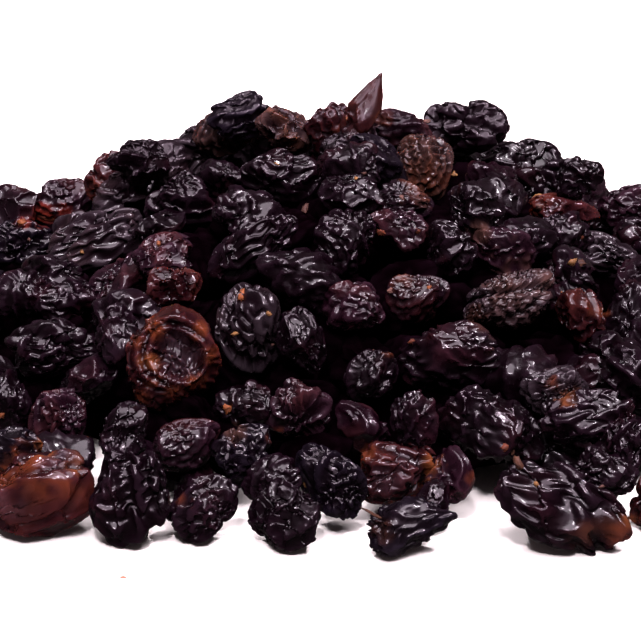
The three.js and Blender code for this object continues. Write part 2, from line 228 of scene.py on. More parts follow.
ROWS: tuple[Row, ...] = (
    # Along the top
    Row(-31.8, 33.5, 7.6, 5.6, 5, 0, P), Row(-25.1, 34.2, 6.6, 5.4, 10, 0, P),
    Row(-27.9, 32.8, 4.8, 2.8, 10, 0, A, Form.SMOOTH), Row(-21.0, 36.9, 5.6, 4.8, 60, 0, W),
    Row(-18.2, 38.4, 5.8, 4.8, 30, 0, K), Row(-19.8, 35.4, 6.6, 5.0, 15, 0, G),
    Row(-15.8, 38.2, 6.2, 5.0, 0, 0, G), Row(-12.3, 39.6, 6.4, 5.2, 20, 0, G),
    Row(-8.3, 42.9, 6.4, 4.8, 15, 0, B), Row(-9.8, 41.2, 6.2, 4.6, 10, 0, N),
    Row(-8.2, 39.5, 6.4, 5.0, -10, 0, G), Row(-3.8, 41.5, 6.0, 5.0, 0, 0, N),
    Row(0.8, 41.8, 5.6, 5.2, 80, 0, W), Row(4.9, 44.2, 6.6, 3.4, 52, 0, W, Form.WEDGE),
    Row(8.2, 41.0, 6.4, 5.0, -10, 0, P), Row(14.7, 41.9, 8.8, 5.4, 0, 0.5, K),
    Row(21.0, 37.0, 9.6, 7.8, -20, 0, K, Form.LOBED), Row(25.8, 37.4, 5.4, 4.6, 45, 0, K),
    Row(31.2, 33.4, 6.8, 5.6, 0, 0, P),
    # Upper rows
    Row(2.8, 40.1, 6.2, 4.8, 0, 0, K), Row(2.8, 37.9, 6.4, 5.0, 0, 0, K),
    Row(10.2, 37.9, 6.7, 6.1, 70, 0.5, N, Form.PEBBLED), Row(-3.9, 36.9, 8.1, 5.8, 10, 0.5, K),
    Row(-14.0, 34.5, 7.7, 5.9, 5, 0.5, K), Row(-22.6, 30.4, 10.8, 6.1, 24, 0.5, G, Form.LONG_FOLDS),
    Row(2.9, 34.9, 6.2, 4.9, 10, 0, K), Row(8.1, 34.2, 6.6, 4.9, -8, 0, K),
    Row(15.5, 33.4, 6.2, 4.9, -40, 0, K), Row(29.2, 31.7, 6.4, 4.9, 20, 0, K),
    Row(7.7, 31.5, 6.2, 4.9, 0, 0, P), Row(24.1, 30.8, 6.2, 5.1, 20, 0, K),
    Row(28.3, 28.8, 7.4, 4.9, -15, 0, G), Row(-30.0, 30.1, 7.0, 5.7, 0, 0, B),
    Row(-15.7, 28.9, 6.2, 4.9, 20, 0, P), Row(-6.7, 29.7, 10.6, 5.1, 34, 0.5, K, Form.LONG_FOLDS),
    Row(2.2, 30.1, 7.4, 6.1, 80, 0.8, K, Form.FINE), Row(12.8, 29.7, 6.2, 5.1, -50, 0, K),
    Row(18.3, 29.4, 6.7, 5.0, -15, 0, P),
    # Middle rows
    Row(-30.0, 25.2, 6.2, 5.0, 20, 0, K), Row(-25.3, 24.4, 6.2, 4.9, -10, 0, K),
    Row(-14.9, 25.9, 6.2, 4.9, 30, 0, W), Row(3.3, 24.0, 6.4, 5.1, 0, 0, P),
    Row(9.8, 25.0, 6.6, 5.5, 25, 0, K), Row(19.0, 24.4, 10.0, 5.9, 25, 0.5, G, Form.LONG_PEBBLED),
    Row(26.1, 22.7, 6.2, 4.9, 100, 0.5, W), Row(30.6, 22.5, 8.5, 5.1, 90, 0, K),
    Row(-26.5, 19.9, 9.8, 5.8, 8, 0.5, K, Form.LOBED, 1), Row(-20.2, 21.2, 6.2, 4.9, 90, 0, K),
    Row(-7.1, 21.7, 9.3, 7.1, 105, 0.5, G), Row(-2.0, 20.5, 7.0, 5.1, 95, 0, K),
    Row(-14.8, 18.5, 10.8, 9.5, 60, 2, W, Form.HOLLOW), Row(12.2, 18.9, 10.4, 7.7, 0, 1.5, K, Form.FINE),
    Row(5.0, 17.0, 6.2, 4.9, 40, 0, K),
    # Lower rows
    Row(-31.2, 14.5, 6.4, 4.9, 90, 0, K), Row(-26.3, 12.7, 6.7, 5.9, 80, 0, P, Form.FINE),
    Row(-30.8, 9.5, 6.2, 4.9, 0, 0, B), Row(-7.7, 14.1, 6.2, 5.0, 0, 0, K),
    Row(-1.8, 13.5, 7.2, 6.6, 20, 1, P, Form.LOBED), Row(9.4, 12.5, 6.2, 4.9, 90, 0, K),
    Row(16.2, 12.3, 9.8, 7.4, -10, 0, K, Form.FINE, 1), Row(24.5, 14.9, 6.8, 5.0, 12, 0, G),
    Row(27.6, 12.0, 9.5, 5.7, 14, 0, K), Row(-19.5, 11.3, 6.2, 5.2, 40, 0, K),
    Row(-13.3, 10.1, 7.1, 5.3, 10, 0, P), Row(-7.5, 9.3, 6.6, 5.7, 30, 0, B),
    Row(4.1, 11.7, 6.2, 4.9, -15, 0, P, Form.ANGULAR), Row(28.6, 7.5, 6.7, 4.9, 0, 0, K),
    Row(31.4, 9.2, 6.2, 4.9, 60, 0, K),
    # Front row
    Row(-28.4, 5.2, 12.3, 8.9, 12, 0, W, Form.SMOOTH), Row(-19.1, 5.1, 10.0, 8.2, 95, 0, K, Form.GIANT),
    Row(-11.6, 3.9, 7.8, 5.9, 35, 0, K), Row(-5.0, 6.7, 6.2, 4.9, 10, 0, K),
    Row(-3.4, 3.0, 7.3, 6.6, -40, 0, K), Row(1.0, 6.5, 8.8, 6.3, -48, 0, B, Form.FINE),
    Row(7.8, 7.5, 8.3, 6.6, 10, 0, W, Form.GIANT, 4), Row(13.0, 7.0, 6.2, 4.9, 80, 0, P, Form.ANGULAR),
    Row(9.2, 2.0, 9.2, 6.0, 6, 0, B, Form.FINE), Row(24.3, 4.5, 14.4, 8.5, -30, 0, K, Form.GIANT),
    Row(33.4, 4.4, 6.2, 4.9, 60, 0, W),
)

# Currants that close the gaps behind those along the top
BACKERS: tuple[Row, ...] = (
    Row(17.8, 37.8, 9.4, 5.2, 3, -2.5, K), Row(6.4, 41.2, 5.6, 4.6, 0, -3, P),
    Row(-1.5, 40.0, 5.6, 4.8, 40, -3, K),
)

# Where the surface shows between the currants of the lower rows: across, up and half width, as above
CLEARINGS: tuple[tuple[float, float, float], ...] = (
    (-22.3, 10.8, 1.0), (6.9, 11.3, 0.8), (16.8, 5.6, 2.4),
    (-7.6, 4.1, 0.8), (-15.3, 3.2, 0.8), (4.6, 4.8, 0.8),
)


@dataclass(frozen=True)
class Blush:
    """A patch of another colour on the side that is seen, in the rows' measure. Some are the skin's own
    colour; others are painted light through thin folds, painted sheen and painted shade.

    Attributes:
        across: Its middle, to the right.
        up: Its middle, above the front row's foot.
        size: Its half width.
        colour: Its linear colour.
        strength: How much it covers, and how firmly above 1.
    """

    across: float
    up: float
    size: float
    colour: Colour
    strength: float


# Orange: the skin's and the stalks' own colour, and also painted light where it comes through thin folds
ORANGE_AND_GLOW: Colour = (0.26, 0.070, 0.020)
GOLD: Colour = (0.30, 0.130, 0.045)
# Rust: the skin's and the stalks' own colour, and also painted light where it comes through thin folds
RUST_AND_GLOW: Colour = (0.14, 0.030, 0.011)
TAN: Colour = (0.16, 0.068, 0.054)
# Painted lilac sheen on smooth sides and in the hollow
LILAC_SHEEN: Colour = (0.040, 0.020, 0.029)
# Maroon: painted shade low on some currants, in the hollow and at the wedge's foot, and also the dark red of
# one skin
MAROON_AND_SHADE: Colour = (0.022, 0.004, 0.005)
SPECK: Colour = (0.90, 0.20, 0.12)
# Painted light coming through a thin fold
GLOW_RED: Colour = (0.30, 0.030, 0.012)
STALK: Colour = (0.080, 0.028, 0.013)
UMBER: Colour = (0.045, 0.014, 0.008)
# Painted shade: the near-black of the heap's inside, seen deep between the currants
INSIDE_SHADE: Colour = (0.0010, 0.0002, 0.0005)

BLUSHES: tuple[Blush, ...] = (
    # Painted light where it comes through the thin folds, in orange, rust and flame; painted lilac sheen;
    # painted maroon shade on the lower and sunk-in parts
    Blush(-24.3, 8.2, 1.2, ORANGE_AND_GLOW, 0.8), Blush(-27.4, 9.8, 0.9, ORANGE_AND_GLOW, 0.8),
    Blush(-29.6, 8.4, 1.4, RUST_AND_GLOW, 0.8), Blush(-31.6, 6.6, 1.4, RUST_AND_GLOW, 0.8), Blush(-28.4, 5.4, 1.2, RUST_AND_GLOW, 0.7),
    Blush(-25.4, 6.2, 1.0, RUST_AND_GLOW, 0.7), Blush(-25.8, 8.6, 1.3, LILAC_SHEEN, 0.7),
    Blush(-31.4, 3.2, 1.6, LILAC_SHEEN, 0.6), Blush(-28.6, 1.6, 2.4, MAROON_AND_SHADE, 0.9),
    Blush(-25.4, 2.4, 2.4, MAROON_AND_SHADE, 0.9), Blush(-16.4, 21.8, 0.9, RUST_AND_GLOW, 0.9),
    Blush(-18.3, 20.2, 0.8, RUST_AND_GLOW, 0.7), Blush(-17.9, 14.8, 0.8, RUST_AND_GLOW, 0.6),
    Blush(-17.0, 18.4, 0.8, ORANGE_AND_GLOW, 0.6), Blush(-16.6, 16.4, 0.7, RUST_AND_GLOW, 0.9),
    Blush(-14.6, 15.2, 0.8, RUST_AND_GLOW, 0.8), Blush(-12.2, 16.4, 0.8, RUST_AND_GLOW, 0.8),
    Blush(-11.0, 19.0, 0.8, RUST_AND_GLOW, 0.9), Blush(-12.0, 21.8, 0.8, RUST_AND_GLOW, 0.8),
    Blush(-13.9, 19.2, 1.9, LILAC_SHEEN, 1.8), Blush(-14.5, 13.0, 2.0, MAROON_AND_SHADE, 1.2),
    Blush(-19.2, 17.0, 1.0, MAROON_AND_SHADE, 1.0), Blush(-27.6, 33.0, 1.2, GLOW_RED, 0.6),
    Blush(-25.6, 33.4, 0.8, GLOW_RED, 0.4), Blush(-29.6, 32.4, 0.8, GLOW_RED, 0.5),
    Blush(6.2, 42.6, 0.9, RUST_AND_GLOW, 0.6), Blush(3.2, 41.8, 1.2, MAROON_AND_SHADE, 1.4),
    Blush(4.4, 42.2, 1.0, MAROON_AND_SHADE, 1.0), Blush(4.6, 9.0, 0.9, RUST_AND_GLOW, 0.8), Blush(11.2, 8.0, 0.9, ORANGE_AND_GLOW, 0.6),
    Blush(11.0, 6.0, 0.7, ORANGE_AND_GLOW, 0.5), Blush(7.6, 6.8, 1.6, LILAC_SHEEN, 0.5), Blush(15.4, 6.6, 0.7, RUST_AND_GLOW, 0.7),
    Blush(8.2, 26.6, 1.0, RUST_AND_GLOW, 0.6), Blush(27.4, 23.4, 0.9, RUST_AND_GLOW, 0.6),
    # Brown and orange parts of dark skins
    Blush(28.4, 1.6, 1.4, UMBER, 0.7), Blush(31.0, 2.6, 0.7, ORANGE_AND_GLOW, 0.4),
    Blush(26.0, 1.0, 1.2, UMBER, 0.5), Blush(29.9, 0.9, 0.9, RUST_AND_GLOW, 0.4), Blush(6.0, 1.7, 0.9, UMBER, 0.7),
    Blush(24.8, 14.6, 0.9, ORANGE_AND_GLOW, 0.5), Blush(23.4, 16.2, 0.6, RUST_AND_GLOW, 0.7),
    Blush(-14.0, 4.6, 0.7, RUST_AND_GLOW, 0.5), Blush(7.2, 20.0, 0.8, RUST_AND_GLOW, 0.7), Blush(-8.6, 11.0, 0.9, TAN, 0.4),
    Blush(-8.0, 24.8, 0.6, RUST_AND_GLOW, 0.5), Blush(10.2, 37.4, 2.6, TAN, 0.35), Blush(10.6, 36.4, 2.0, RUST_AND_GLOW, 0.4),
    Blush(19.4, 24.8, 3.4, TAN, 0.25), Blush(9.8, 24.6, 3.0, MAROON_AND_SHADE, 0.8),
    Blush(18.5, 25.6, 1.4, UMBER, 0.8), Blush(22.4, 26.4, 1.1, TAN, 0.4),
    Blush(15.6, 22.8, 1.1, UMBER, 0.8), Blush(13.4, 36.6, 0.8, RUST_AND_GLOW, 0.7), Blush(16.0, 31.5, 1.0, TAN, 0.5),
    Blush(-4.4, 11.0, 0.7, RUST_AND_GLOW, 0.6),
)


@dataclass(frozen=True)
class Crumb:
    """A scrap of stalk or a stalk's scar, in the rows' measure.

    Attributes:
        across: Its middle, to the right.
        up: Its middle, above the front row's foot.
        length: Its length.
        width: Its width.
        turn: Its angle in degrees.
        colour: Its linear colour.
        stands: Whether it sticks out from its place along that angle, in place of lying on the skin.
    """

    across: float
    up: float
    length: float
    width: float
    turn: float
    colour: Colour
    stands: bool = False


CRUMBS: tuple[Crumb, ...] = (
    # Stalks and their stubs
    Crumb(-8.0, 24.5, 1.2, 0.8, 75, ORANGE_AND_GLOW, True), Crumb(-9.3, 13.6, 1.2, 1.0, 0, ORANGE_AND_GLOW),
    Crumb(20.1, 7.6, 1.6, 0.7, 118, STALK, True), Crumb(19.4, 8.8, 1.1, 0.7, 140, STALK, True),
    Crumb(18.4, 9.8, 1.0, 0.7, 20, RUST_AND_GLOW), Crumb(19.2, 9.4, 0.9, 0.6, 60, STALK),
    Crumb(6.0, 2.7, 2.2, 0.28, 150, STALK, True),
    # Scars and flecks
    Crumb(13.4, 37.1, 0.7, 0.6, 0, GOLD), Crumb(2.6, 42.6, 1.0, 0.6, 0, ORANGE_AND_GLOW),
    Crumb(4.4, 37.2, 0.6, 0.4, 0, TAN), Crumb(-23.9, 29.4, 0.5, 0.5, 0, GOLD),
    Crumb(-16.2, 30.2, 0.5, 0.7, 0, ORANGE_AND_GLOW), Crumb(-14.8, 24.0, 0.8, 0.5, 30, GOLD),
    Crumb(-5.2, 23.2, 0.7, 0.5, -20, GOLD), Crumb(-8.6, 21.2, 0.8, 0.4, 10, GOLD),
    Crumb(-4.8, 20.1, 0.5, 0.3, 0, TAN), Crumb(6.0, 31.3, 1.0, 0.8, 0, RUST_AND_GLOW),
    Crumb(9.7, 31.4, 0.7, 0.6, 0, RUST_AND_GLOW), Crumb(6.9, 25.5, 0.7, 0.6, 0, TAN),
    Crumb(10.8, 25.8, 0.6, 0.5, 0, ORANGE_AND_GLOW), Crumb(-1.6, 6.1, 0.6, 0.4, 60, GOLD),
    Crumb(21.6, 6.1, 0.7, 0.5, 80, GOLD), Crumb(28.1, 5.9, 0.5, 0.3, 0, TAN),
    Crumb(25.9, 28.2, 1.5, 0.9, 20, STALK), Crumb(25.2, 28.3, 1.0, 0.8, 0, GOLD),
    Crumb(26.2, 30.8, 0.5, 0.4, 0, RUST_AND_GLOW), Crumb(-29.1, 30.6, 0.6, 0.5, 0, TAN),
    Crumb(-27.6, 32.9, 3.2, 0.9, 12, RUST_AND_GLOW), Crumb(-29.9, 32.3, 1.2, 0.7, -10, ORANGE_AND_GLOW),
    Crumb(30.9, 2.7, 0.8, 0.5, 60, ORANGE_AND_GLOW), Crumb(-31.8, 13.0, 0.6, 0.6, 0, ORANGE_AND_GLOW),
    # One on the floor
    Crumb(-19.7, -3.2, 0.7, 0.3, 5, SPECK),
)


def unit(vector: np.ndarray) -> np.ndarray:
    """Scales a vector, or each row of several, to length 1."""
    return vector / np.linalg.norm(vector, axis=-1, keepdims=True)


def swelling(offset: np.ndarray, width: float) -> np.ndarray:
    """Gives a smooth swelling that is 1 at offset 0 and fades over a width."""
    return np.exp(-((offset / width) ** 2))


def blend(first: np.ndarray, second: np.ndarray, share: np.ndarray) -> np.ndarray:
    """Mixes a share of the second into the first."""
    return first * (1 - share) + second * share


def spiral(count: int) -> np.ndarray:
    """Spreads points evenly over a ball, along a spiral.

    Args:
        count: How many.

    Returns:
        The points, one a row.
    """
    steps = np.arange(count)
    z = 1 - (2 * steps + 1) / count
    r = np.sqrt(1 - z * z)
    angle = steps * math.pi * (3 - math.sqrt(5))
    return np.column_stack([r * np.cos(angle), r * np.sin(angle), z])


def random_turn(rng: np.random.Generator) -> np.ndarray:
    """Makes the matrix of a random rotation."""
    turn = np.linalg.qr(rng.normal(size=(3, 3)))[0]
    return turn * np.sign(np.linalg.det(turn))


def place_in_scene(name: str, data: bpy.types.ID) -> bpy.types.Object:
    """Makes an object and links it to the scene.

    Args:
        name: Its name.
        data: Its mesh, light or camera.

    Returns:
        The object.
    """
    made = bpy.data.objects.new(name, data)
    bpy.context.scene.collection.objects.link(made)
    return made


@dataclass
class Lottery:
    """The repeatable random numbers that the solid's source draws.

    Attributes:
        state: The seed, and then the last number's state.
    """

    MULTIPLIER = 1664525
    INCREMENT = 1013904223
    MODULUS = 2**32

    state: int

    def draw(self) -> float:
        """Draws a number from 0 to 1."""
        self.state = (self.state * self.MULTIPLIER + self.INCREMENT) % self.MODULUS
        return self.state / self.MODULUS

    def between(self, limits: Range) -> float:
        """Draws a number between two limits."""
        return limits[0] + (limits[1] - limits[0]) * self.draw()


@dataclass(frozen=True)
class HeapForm:
    """The heap's outer surface, in millimetres.

    Attributes:
        half_width: Its half width at the foot.
        front_depth: From the top's middle to the foot in front.
        back_depth: The same behind.
        top: The height that its slopes lead up to.
        rim: Its height at the foot.
        top_share: How much of the way out the top takes.
        rounding: How softly the top turns into the slopes.
        power: How square its outline is.
        wave: The height of its bumps.
        wave_length: Their length.
        wave_start: Where they start.
    """

    half_width: float = 54.0
    front_depth: float = 52.0
    back_depth: float = 48.0
    top: float = 28.0
    rim: float = 6.0
    top_share: float = 0.2
    rounding: float = 0.16
    power: float = 2.3
    wave: float = 1.1
    wave_length: float = 27.0
    wave_start: float = 1.0

    def depth_towards(self, y: float) -> float:
        """Gives the depth on the side that y points to."""
        return self.front_depth if y < 0 else self.back_depth

    def spread(self, x: float, y: float) -> float:
        """Tells how far out a place is, from 0 at the top's middle to 1 at the foot."""
        u, v = abs(x) / self.half_width, abs(y) / self.depth_towards(y)
        return (u**self.power + v**self.power) ** (1 / self.power)

    def height(self, x: float, y: float) -> float:
        """Gives the surface's height, which runs on below the floor past the foot.

        Args:
            x: The place's x.
            y: The place's y.

        Returns:
            The height.
        """
        past = self.spread(x, y) - self.top_share
        ramp = 0.5 * (past + math.sqrt(past * past + self.rounding**2)) / (1 - self.top_share)
        turns = TURN / self.wave_length
        wave = self.wave * math.sin(x * turns + self.wave_start) * math.cos(y * turns)
        return self.top - (self.top - self.rim) * ramp + wave

    def normal(self, x: float, y: float, step: float = 0.5) -> np.ndarray:
        """Gives the direction that the surface faces.

        Args:
            x: The place's x.
            y: The place's y.
            step: How far around it the slope is measured.

        Returns:
            A direction of length 1.
        """
        slope_x = (self.height(x + step, y) - self.height(x - step, y)) / (2 * step)
        slope_y = (self.height(x, y + step) - self.height(x, y - step)) / (2 * step)
        return unit(np.array([-slope_x, -slope_y, 1.0]))


class Eye:
    """The place that the heap is seen from, and its lines of sight."""

    def __init__(self) -> None:
        """Works out its directions and its place."""
        self.right = np.array([1.0, 0.0, 0.0])
        self.forward = np.array([0.0, math.cos(EYE_ELEVATION), -math.sin(EYE_ELEVATION)])
        self.up = np.array([0.0, math.sin(EYE_ELEVATION), math.cos(EYE_ELEVATION)])
        self.foot = np.array([EYE_ACROSS, FRONT_FOOT, 0.0])
        self.place = self.foot + self.up * SIGHT_HEIGHT - self.forward * EYE_DISTANCE

    def sight(self, across: float, up: float) -> np.ndarray:
        """Gives the direction to a place in the rows' measure."""
        return unit(self.foot + self.right * across + self.up * up - self.place)

    def turned(self, degrees: float) -> tuple[np.ndarray, np.ndarray]:
        """Gives two directions across the picture.

        Args:
            degrees: How far the first is turned up from the right.

        Returns:
            That one, and the one a quarter turn further.
        """
        angle = math.radians(degrees)
        first = self.right * math.cos(angle) + self.up * math.sin(angle)
        return first, self.up * math.cos(angle) - self.right * math.sin(angle)


@dataclass
class Currant:
    """One currant's rough body.

    Attributes:
        middle: Its middle.
        directions: Its long, wide and thick directions, one a row.
        halves: Half of its size along each.
        row: The row that describes it, if one does.
    """

    middle: np.ndarray
    directions: np.ndarray
    halves: np.ndarray
    row: Row | None = None

    def reach(self, direction: np.ndarray) -> float:
        """Tells how far it reaches from its middle in a direction."""
        part = (self.directions @ direction) / self.halves
        return 1 / math.sqrt(float(part @ part))

    def half_height(self) -> float:
        """Gives half of its height."""
        part = self.directions[:, 2] * self.halves
        return math.sqrt(float(part @ part))

    def rest_on_floor(self) -> None:
        """Lifts it to the floor if it is lower."""
        self.middle[2] = max(self.middle[2], self.half_height())


class Crowd:
    """Several currants whose distances from one more can be found together."""

    def __init__(self, currants: list[Currant]) -> None:
        """Takes in the first ones.

        Args:
            currants: Those.
        """
        self.currants = list(currants)
        self.middles = np.array([c.middle for c in currants]).reshape(-1, 3)
        self.directions = np.array([c.directions for c in currants]).reshape(-1, 3, 3)
        self.halves = np.array([c.halves for c in currants]).reshape(-1, 3)

    def add(self, currant: Currant) -> None:
        """Takes in one more.

        Args:
            currant: The new one.
        """
        self.currants.append(currant)
        self.middles = np.vstack([self.middles, currant.middle])
        self.directions = np.concatenate([self.directions, currant.directions[None]])
        self.halves = np.vstack([self.halves, currant.halves])

    def distances(self, currant: Currant) -> tuple[np.ndarray, np.ndarray]:
        """Measures from one currant to each.

        Args:
            currant: The one to measure from.

        Returns:
            The distance between middles, and what both bodies fill of it.
        """
        between = self.middles - currant.middle
        distance = np.linalg.norm(between, axis=1)
        aim = between / distance[:, None]
        own = (aim @ currant.directions.T) / currant.halves
        others = np.einsum("nij,nj->ni", self.directions, aim) / self.halves
        filled = 1 / np.sqrt((own * own).sum(1)) + 1 / np.sqrt((others * others).sum(1))
        return distance, filled

    def lets_in(self, currant: Currant, overlap: float) -> bool:
        """Tells whether a currant fits in.

        Args:
            currant: The one to fit in.
            overlap: The least closeness, 1 where two bodies only touch.

        Returns:
            Whether it keeps that from every other.
        """
        if not self.currants:
            return True
        distance, filled = self.distances(currant)
        return bool((distance > overlap * filled).all())


class HeapLayout:
    """Places the currants by the same steps as the solid's source."""

    def __init__(self) -> None:
        """Starts with no currants."""
        self.form, self.eye, self.lottery = HeapForm(), Eye(), Lottery(20461)

    def point_in_sight(self, sight: np.ndarray, lowest: float) -> np.ndarray:
        """Finds where a currant lies along a line of sight.

        Args:
            sight: The line's direction.
            lowest: The least height of its middle.

        Returns:
            The first point at that height, or else the one nearest to it.
        """
        nearest, best, along = math.inf, EYE_DISTANCE, SIGHT_RANGE[0]
        while along < SIGHT_RANGE[1] and nearest > 0:
            point = self.eye.place + sight * along
            above = point[2] - max(self.form.height(point[0], point[1]) - SEAT_DEPTH, lowest)
            if above < nearest:
                nearest, best = above, along
            along += SIGHT_STEP
        return self.eye.place + sight * best

    def shown(self, row: Row) -> Currant:
        """Places one of the currants seen from in front, its length and width facing the eye.

        Args:
            row: Its description.

        Returns:
            The currant.
        """
        sight = self.eye.sight(row.across, row.up)
        long, wide = self.eye.turned(row.turn)
        halves = np.array([row.length, row.width, row.width * self.lottery.between(THICKNESS_RANGE)]) / 2
        currant = Currant(np.zeros(3), np.array([long, wide, np.cross(long, wide)]), halves, row)
        start = self.point_in_sight(sight, currant.half_height())
        currant.halves = halves * (float((start - self.eye.place) @ self.eye.forward) / EYE_DISTANCE)
        currant.middle = self.point_in_sight(sight, currant.half_height()) - sight * row.stand
        currant.rest_on_floor()
        return currant

    def random_halves(self, length: float) -> np.ndarray:
        """Draws half of a currant's length, width and thickness for a length."""
        width = length * self.lottery.between(WIDTH_RANGE)
        return np.array([length, width, width * self.lottery.between(THICKNESS_RANGE)]) / 2

    def random(self, x: float, y: float) -> Currant:
        """Makes a currant of random size that lies flat on the slope, more or less.

        Args:
            x: Its middle's x.
            y: Its middle's y.

        Returns:
            The currant.
        """
        turn = self.lottery.draw() * TURN
        tilt_x, tilt_y = ((self.lottery.draw() - 0.5) * 2 * TILT_RANGE for _ in range(2))
        thick = unit(self.form.normal(x, y) + np.array([tilt_x, tilt_y, 0.0]))
        long = np.array([math.cos(turn), math.sin(turn), 0.0])
        long = unit(long - thick * float(long @ thick))
        halves = self.random_halves(self.lottery.between(LENGTH_RANGE))
        return Currant(np.array([x, y, 0.0]), np.array([long, np.cross(thick, long), thick]), halves)

    def scattered(self) -> Currant:
        """Makes a random currant anywhere on the heap's surface.

        Returns:
            The currant, its middle on the surface.
        """
        x = (self.lottery.draw() * 2 - 1) * self.form.half_width
        y = self.lottery.draw() * (self.form.front_depth + self.form.back_depth) - self.form.front_depth
        currant = self.random(x, y)
        currant.middle[2] = self.form.height(x, y)
        return currant

    def settle_in_sight(self, currants: list[Currant]) -> None:
        """Moves currants along their line of sight until each leans on what lies in front of it.

        Args:
            currants: The ones to move, which are taken nearest first.
        """
        settled = Crowd([])
        for currant in sorted(currants, key=lambda c: float(np.linalg.norm(c.middle - self.eye.place))):
            start = currant.middle.copy()
            is_free = settled.lets_in(currant, TOUCH_OVERLAP)
            direction = unit(start - self.eye.place) * (-1 if is_free else 1)
            limit = LEAN_LIMIT if is_free else SINK_LIMIT
            moved = 0.0
            while moved < limit and settled.lets_in(currant, TOUCH_OVERLAP) == is_free:
                currant.middle = currant.middle + direction * SETTLE_STEP
                moved += SETTLE_STEP
            if is_free and moved >= limit:
                currant.middle = start
            currant.rest_on_floor()
            settled.add(currant)

    def blocks_clearing(self, currant: Currant) -> bool:
        """Tells whether a currant would hide one of the places where the surface shows.

        Args:
            currant: The currant.

        Returns:
            Whether it would.
        """
        offset = currant.middle - self.eye.place
        for across, up, half in CLEARINGS:
            sight = self.eye.sight(across, up)
            if np.linalg.norm(offset - sight * float(offset @ sight)) < currant.halves[1] + half:
                return True
        return False

    def hides(self, currant: Currant, shown: Crowd) -> bool:
        """Tells whether a currant would lie in front of one of those that are seen.

        Args:
            currant: The currant.
            shown: The ones that are seen.

        Returns:
            Whether it would.
        """
        offset = currant.middle - self.eye.place
        others = shown.middles - self.eye.place
        distance = float(np.linalg.norm(offset))
        apart = np.linalg.norm(np.cross(offset, others), axis=1) / distance
        is_before = distance < np.linalg.norm(others, axis=1)
        return bool((is_before & (apart < HIDING_SHARE * (currant.halves[1] + shown.halves[:, 1]))).any())

    def fill_surface(self, crowd: Crowd, shown: Crowd) -> None:
        """Adds random currants to the heap's surface wherever they fit.

        Args:
            crowd: The heap so far.
            shown: The currants that have to stay in view.
        """
        for _ in range(OUTER_TRIES):
            currant = self.scattered()
            currant.middle[2] -= SEAT_DEPTH
            currant.rest_on_floor()
            is_past = self.form.spread(*currant.middle[:2]) >= 1
            if is_past or self.blocks_clearing(currant) or self.hides(currant, shown):
                continue
            if crowd.lets_in(currant, OUTER_OVERLAP):
                crowd.add(currant)

    def fill_fringe(self, crowd: Crowd) -> None:
        """Adds stray currants on the floor, each pushed in from outside until it touches another.

        Args:
            crowd: The heap so far.
        """
        for _ in range(FRINGE_TRIES):
            around = self.lottery.draw() * TURN
            reach = self.lottery.between(FRINGE_REACH)
            foot_x = math.cos(around) * self.form.half_width
            foot_y = math.sin(around) * self.form.depth_towards(math.sin(around))
            currant = self.random(foot_x, foot_y)
            currant.middle = np.array([foot_x * reach, foot_y * reach, currant.half_height()])
            if foot_y < 0 and abs(foot_x) < FRONT_HALF_WIDTH:
                continue
            if self.blocks_clearing(currant) or not crowd.lets_in(currant, TOUCH_OVERLAP):
                continue
            inward = unit(np.array([-currant.middle[0], -currant.middle[1], 0.0]))
            while crowd.lets_in(currant, TOUCH_OVERLAP) and float(currant.middle @ inward) < 0:
                currant.middle = currant.middle + inward * PUSH_STEP
            if not self.blocks_clearing(currant):
                crowd.add(currant)

    def in_core(self, currant: Currant) -> bool:
        """Tells whether a currant sinks into the solid's core.

        Args:
            currant: The currant.

        Returns:
            Whether it does.
        """
        x, y, z = currant.middle
        seat = self.form.height(x, y) - CORE_DEPTH
        return self.form.spread(x, y) < CORE_SPREAD and z - CORE_GRIP * currant.half_height() < seat

    def link(self, start: Currant, end: Currant, gap: float) -> Currant:
        """Makes a currant that reaches over the gap between two others.

        Args:
            start: One of them.
            end: The other.
            gap: The gap's width.

        Returns:
            The new currant.
        """
        between = unit(end.middle - start.middle)
        halves = self.random_halves(min(max(gap + LINK_GRIP, LINK_LENGTH[0]), LINK_LENGTH[1]))
        wide = unit(np.array([-between[1], between[0], 0.0]))
        place = start.middle + between * (TOUCH_OVERLAP * start.reach(between) + gap / 2)
        made = Currant(place, np.array([between, wide, np.cross(between, wide)]), halves)
        made.rest_on_floor()
        return made

    def join_loose(self, currants: list[Currant]) -> list[Currant]:
        """Makes every currant hang together with the core.

        Args:
            currants: All of them.

        Returns:
            The same ones, with links added.
        """
        joined = Crowd([c for c in currants if self.in_core(c)])
        loose = [c for c in currants if not self.in_core(c)]
        while loose:
            best_gap, best_index, best_other = math.inf, 0, 0
            for index, currant in enumerate(loose):
                distance, filled = joined.distances(currant)
                gap = distance - TOUCH_OVERLAP * filled
                other = int(np.argmin(gap))
                if gap[other] < best_gap:
                    best_gap, best_index, best_other = float(gap[other]), index, other
            currant, other = loose[best_index], joined.currants[best_other]
            if best_gap > SLIDE_LIMIT:
                joined.add(self.link(other, currant, best_gap))
            else:
                currant.middle = currant.middle + unit(other.middle - currant.middle) * max(best_gap, 0)
                joined.add(loose.pop(best_index))
        return joined.currants

    def outer(self) -> list[Currant]:
        """Places every currant of the solid and the backers.

        Returns:
            The currants.
        """
        seen = [self.shown(row) for row in ROWS]
        self.settle_in_sight(seen)
        settled = [(currant, currant.middle.copy()) for currant in seen if currant.row.up < FLOOR_ROW_TOP]
        crowd = Crowd(seen)
        self.fill_surface(crowd, Crowd(seen))
        self.fill_fringe(crowd)
        joined = self.join_loose(crowd.currants)
        for currant, middle in settled:
            currant.middle = middle
        return joined + [self.shown(row) for row in BACKERS]

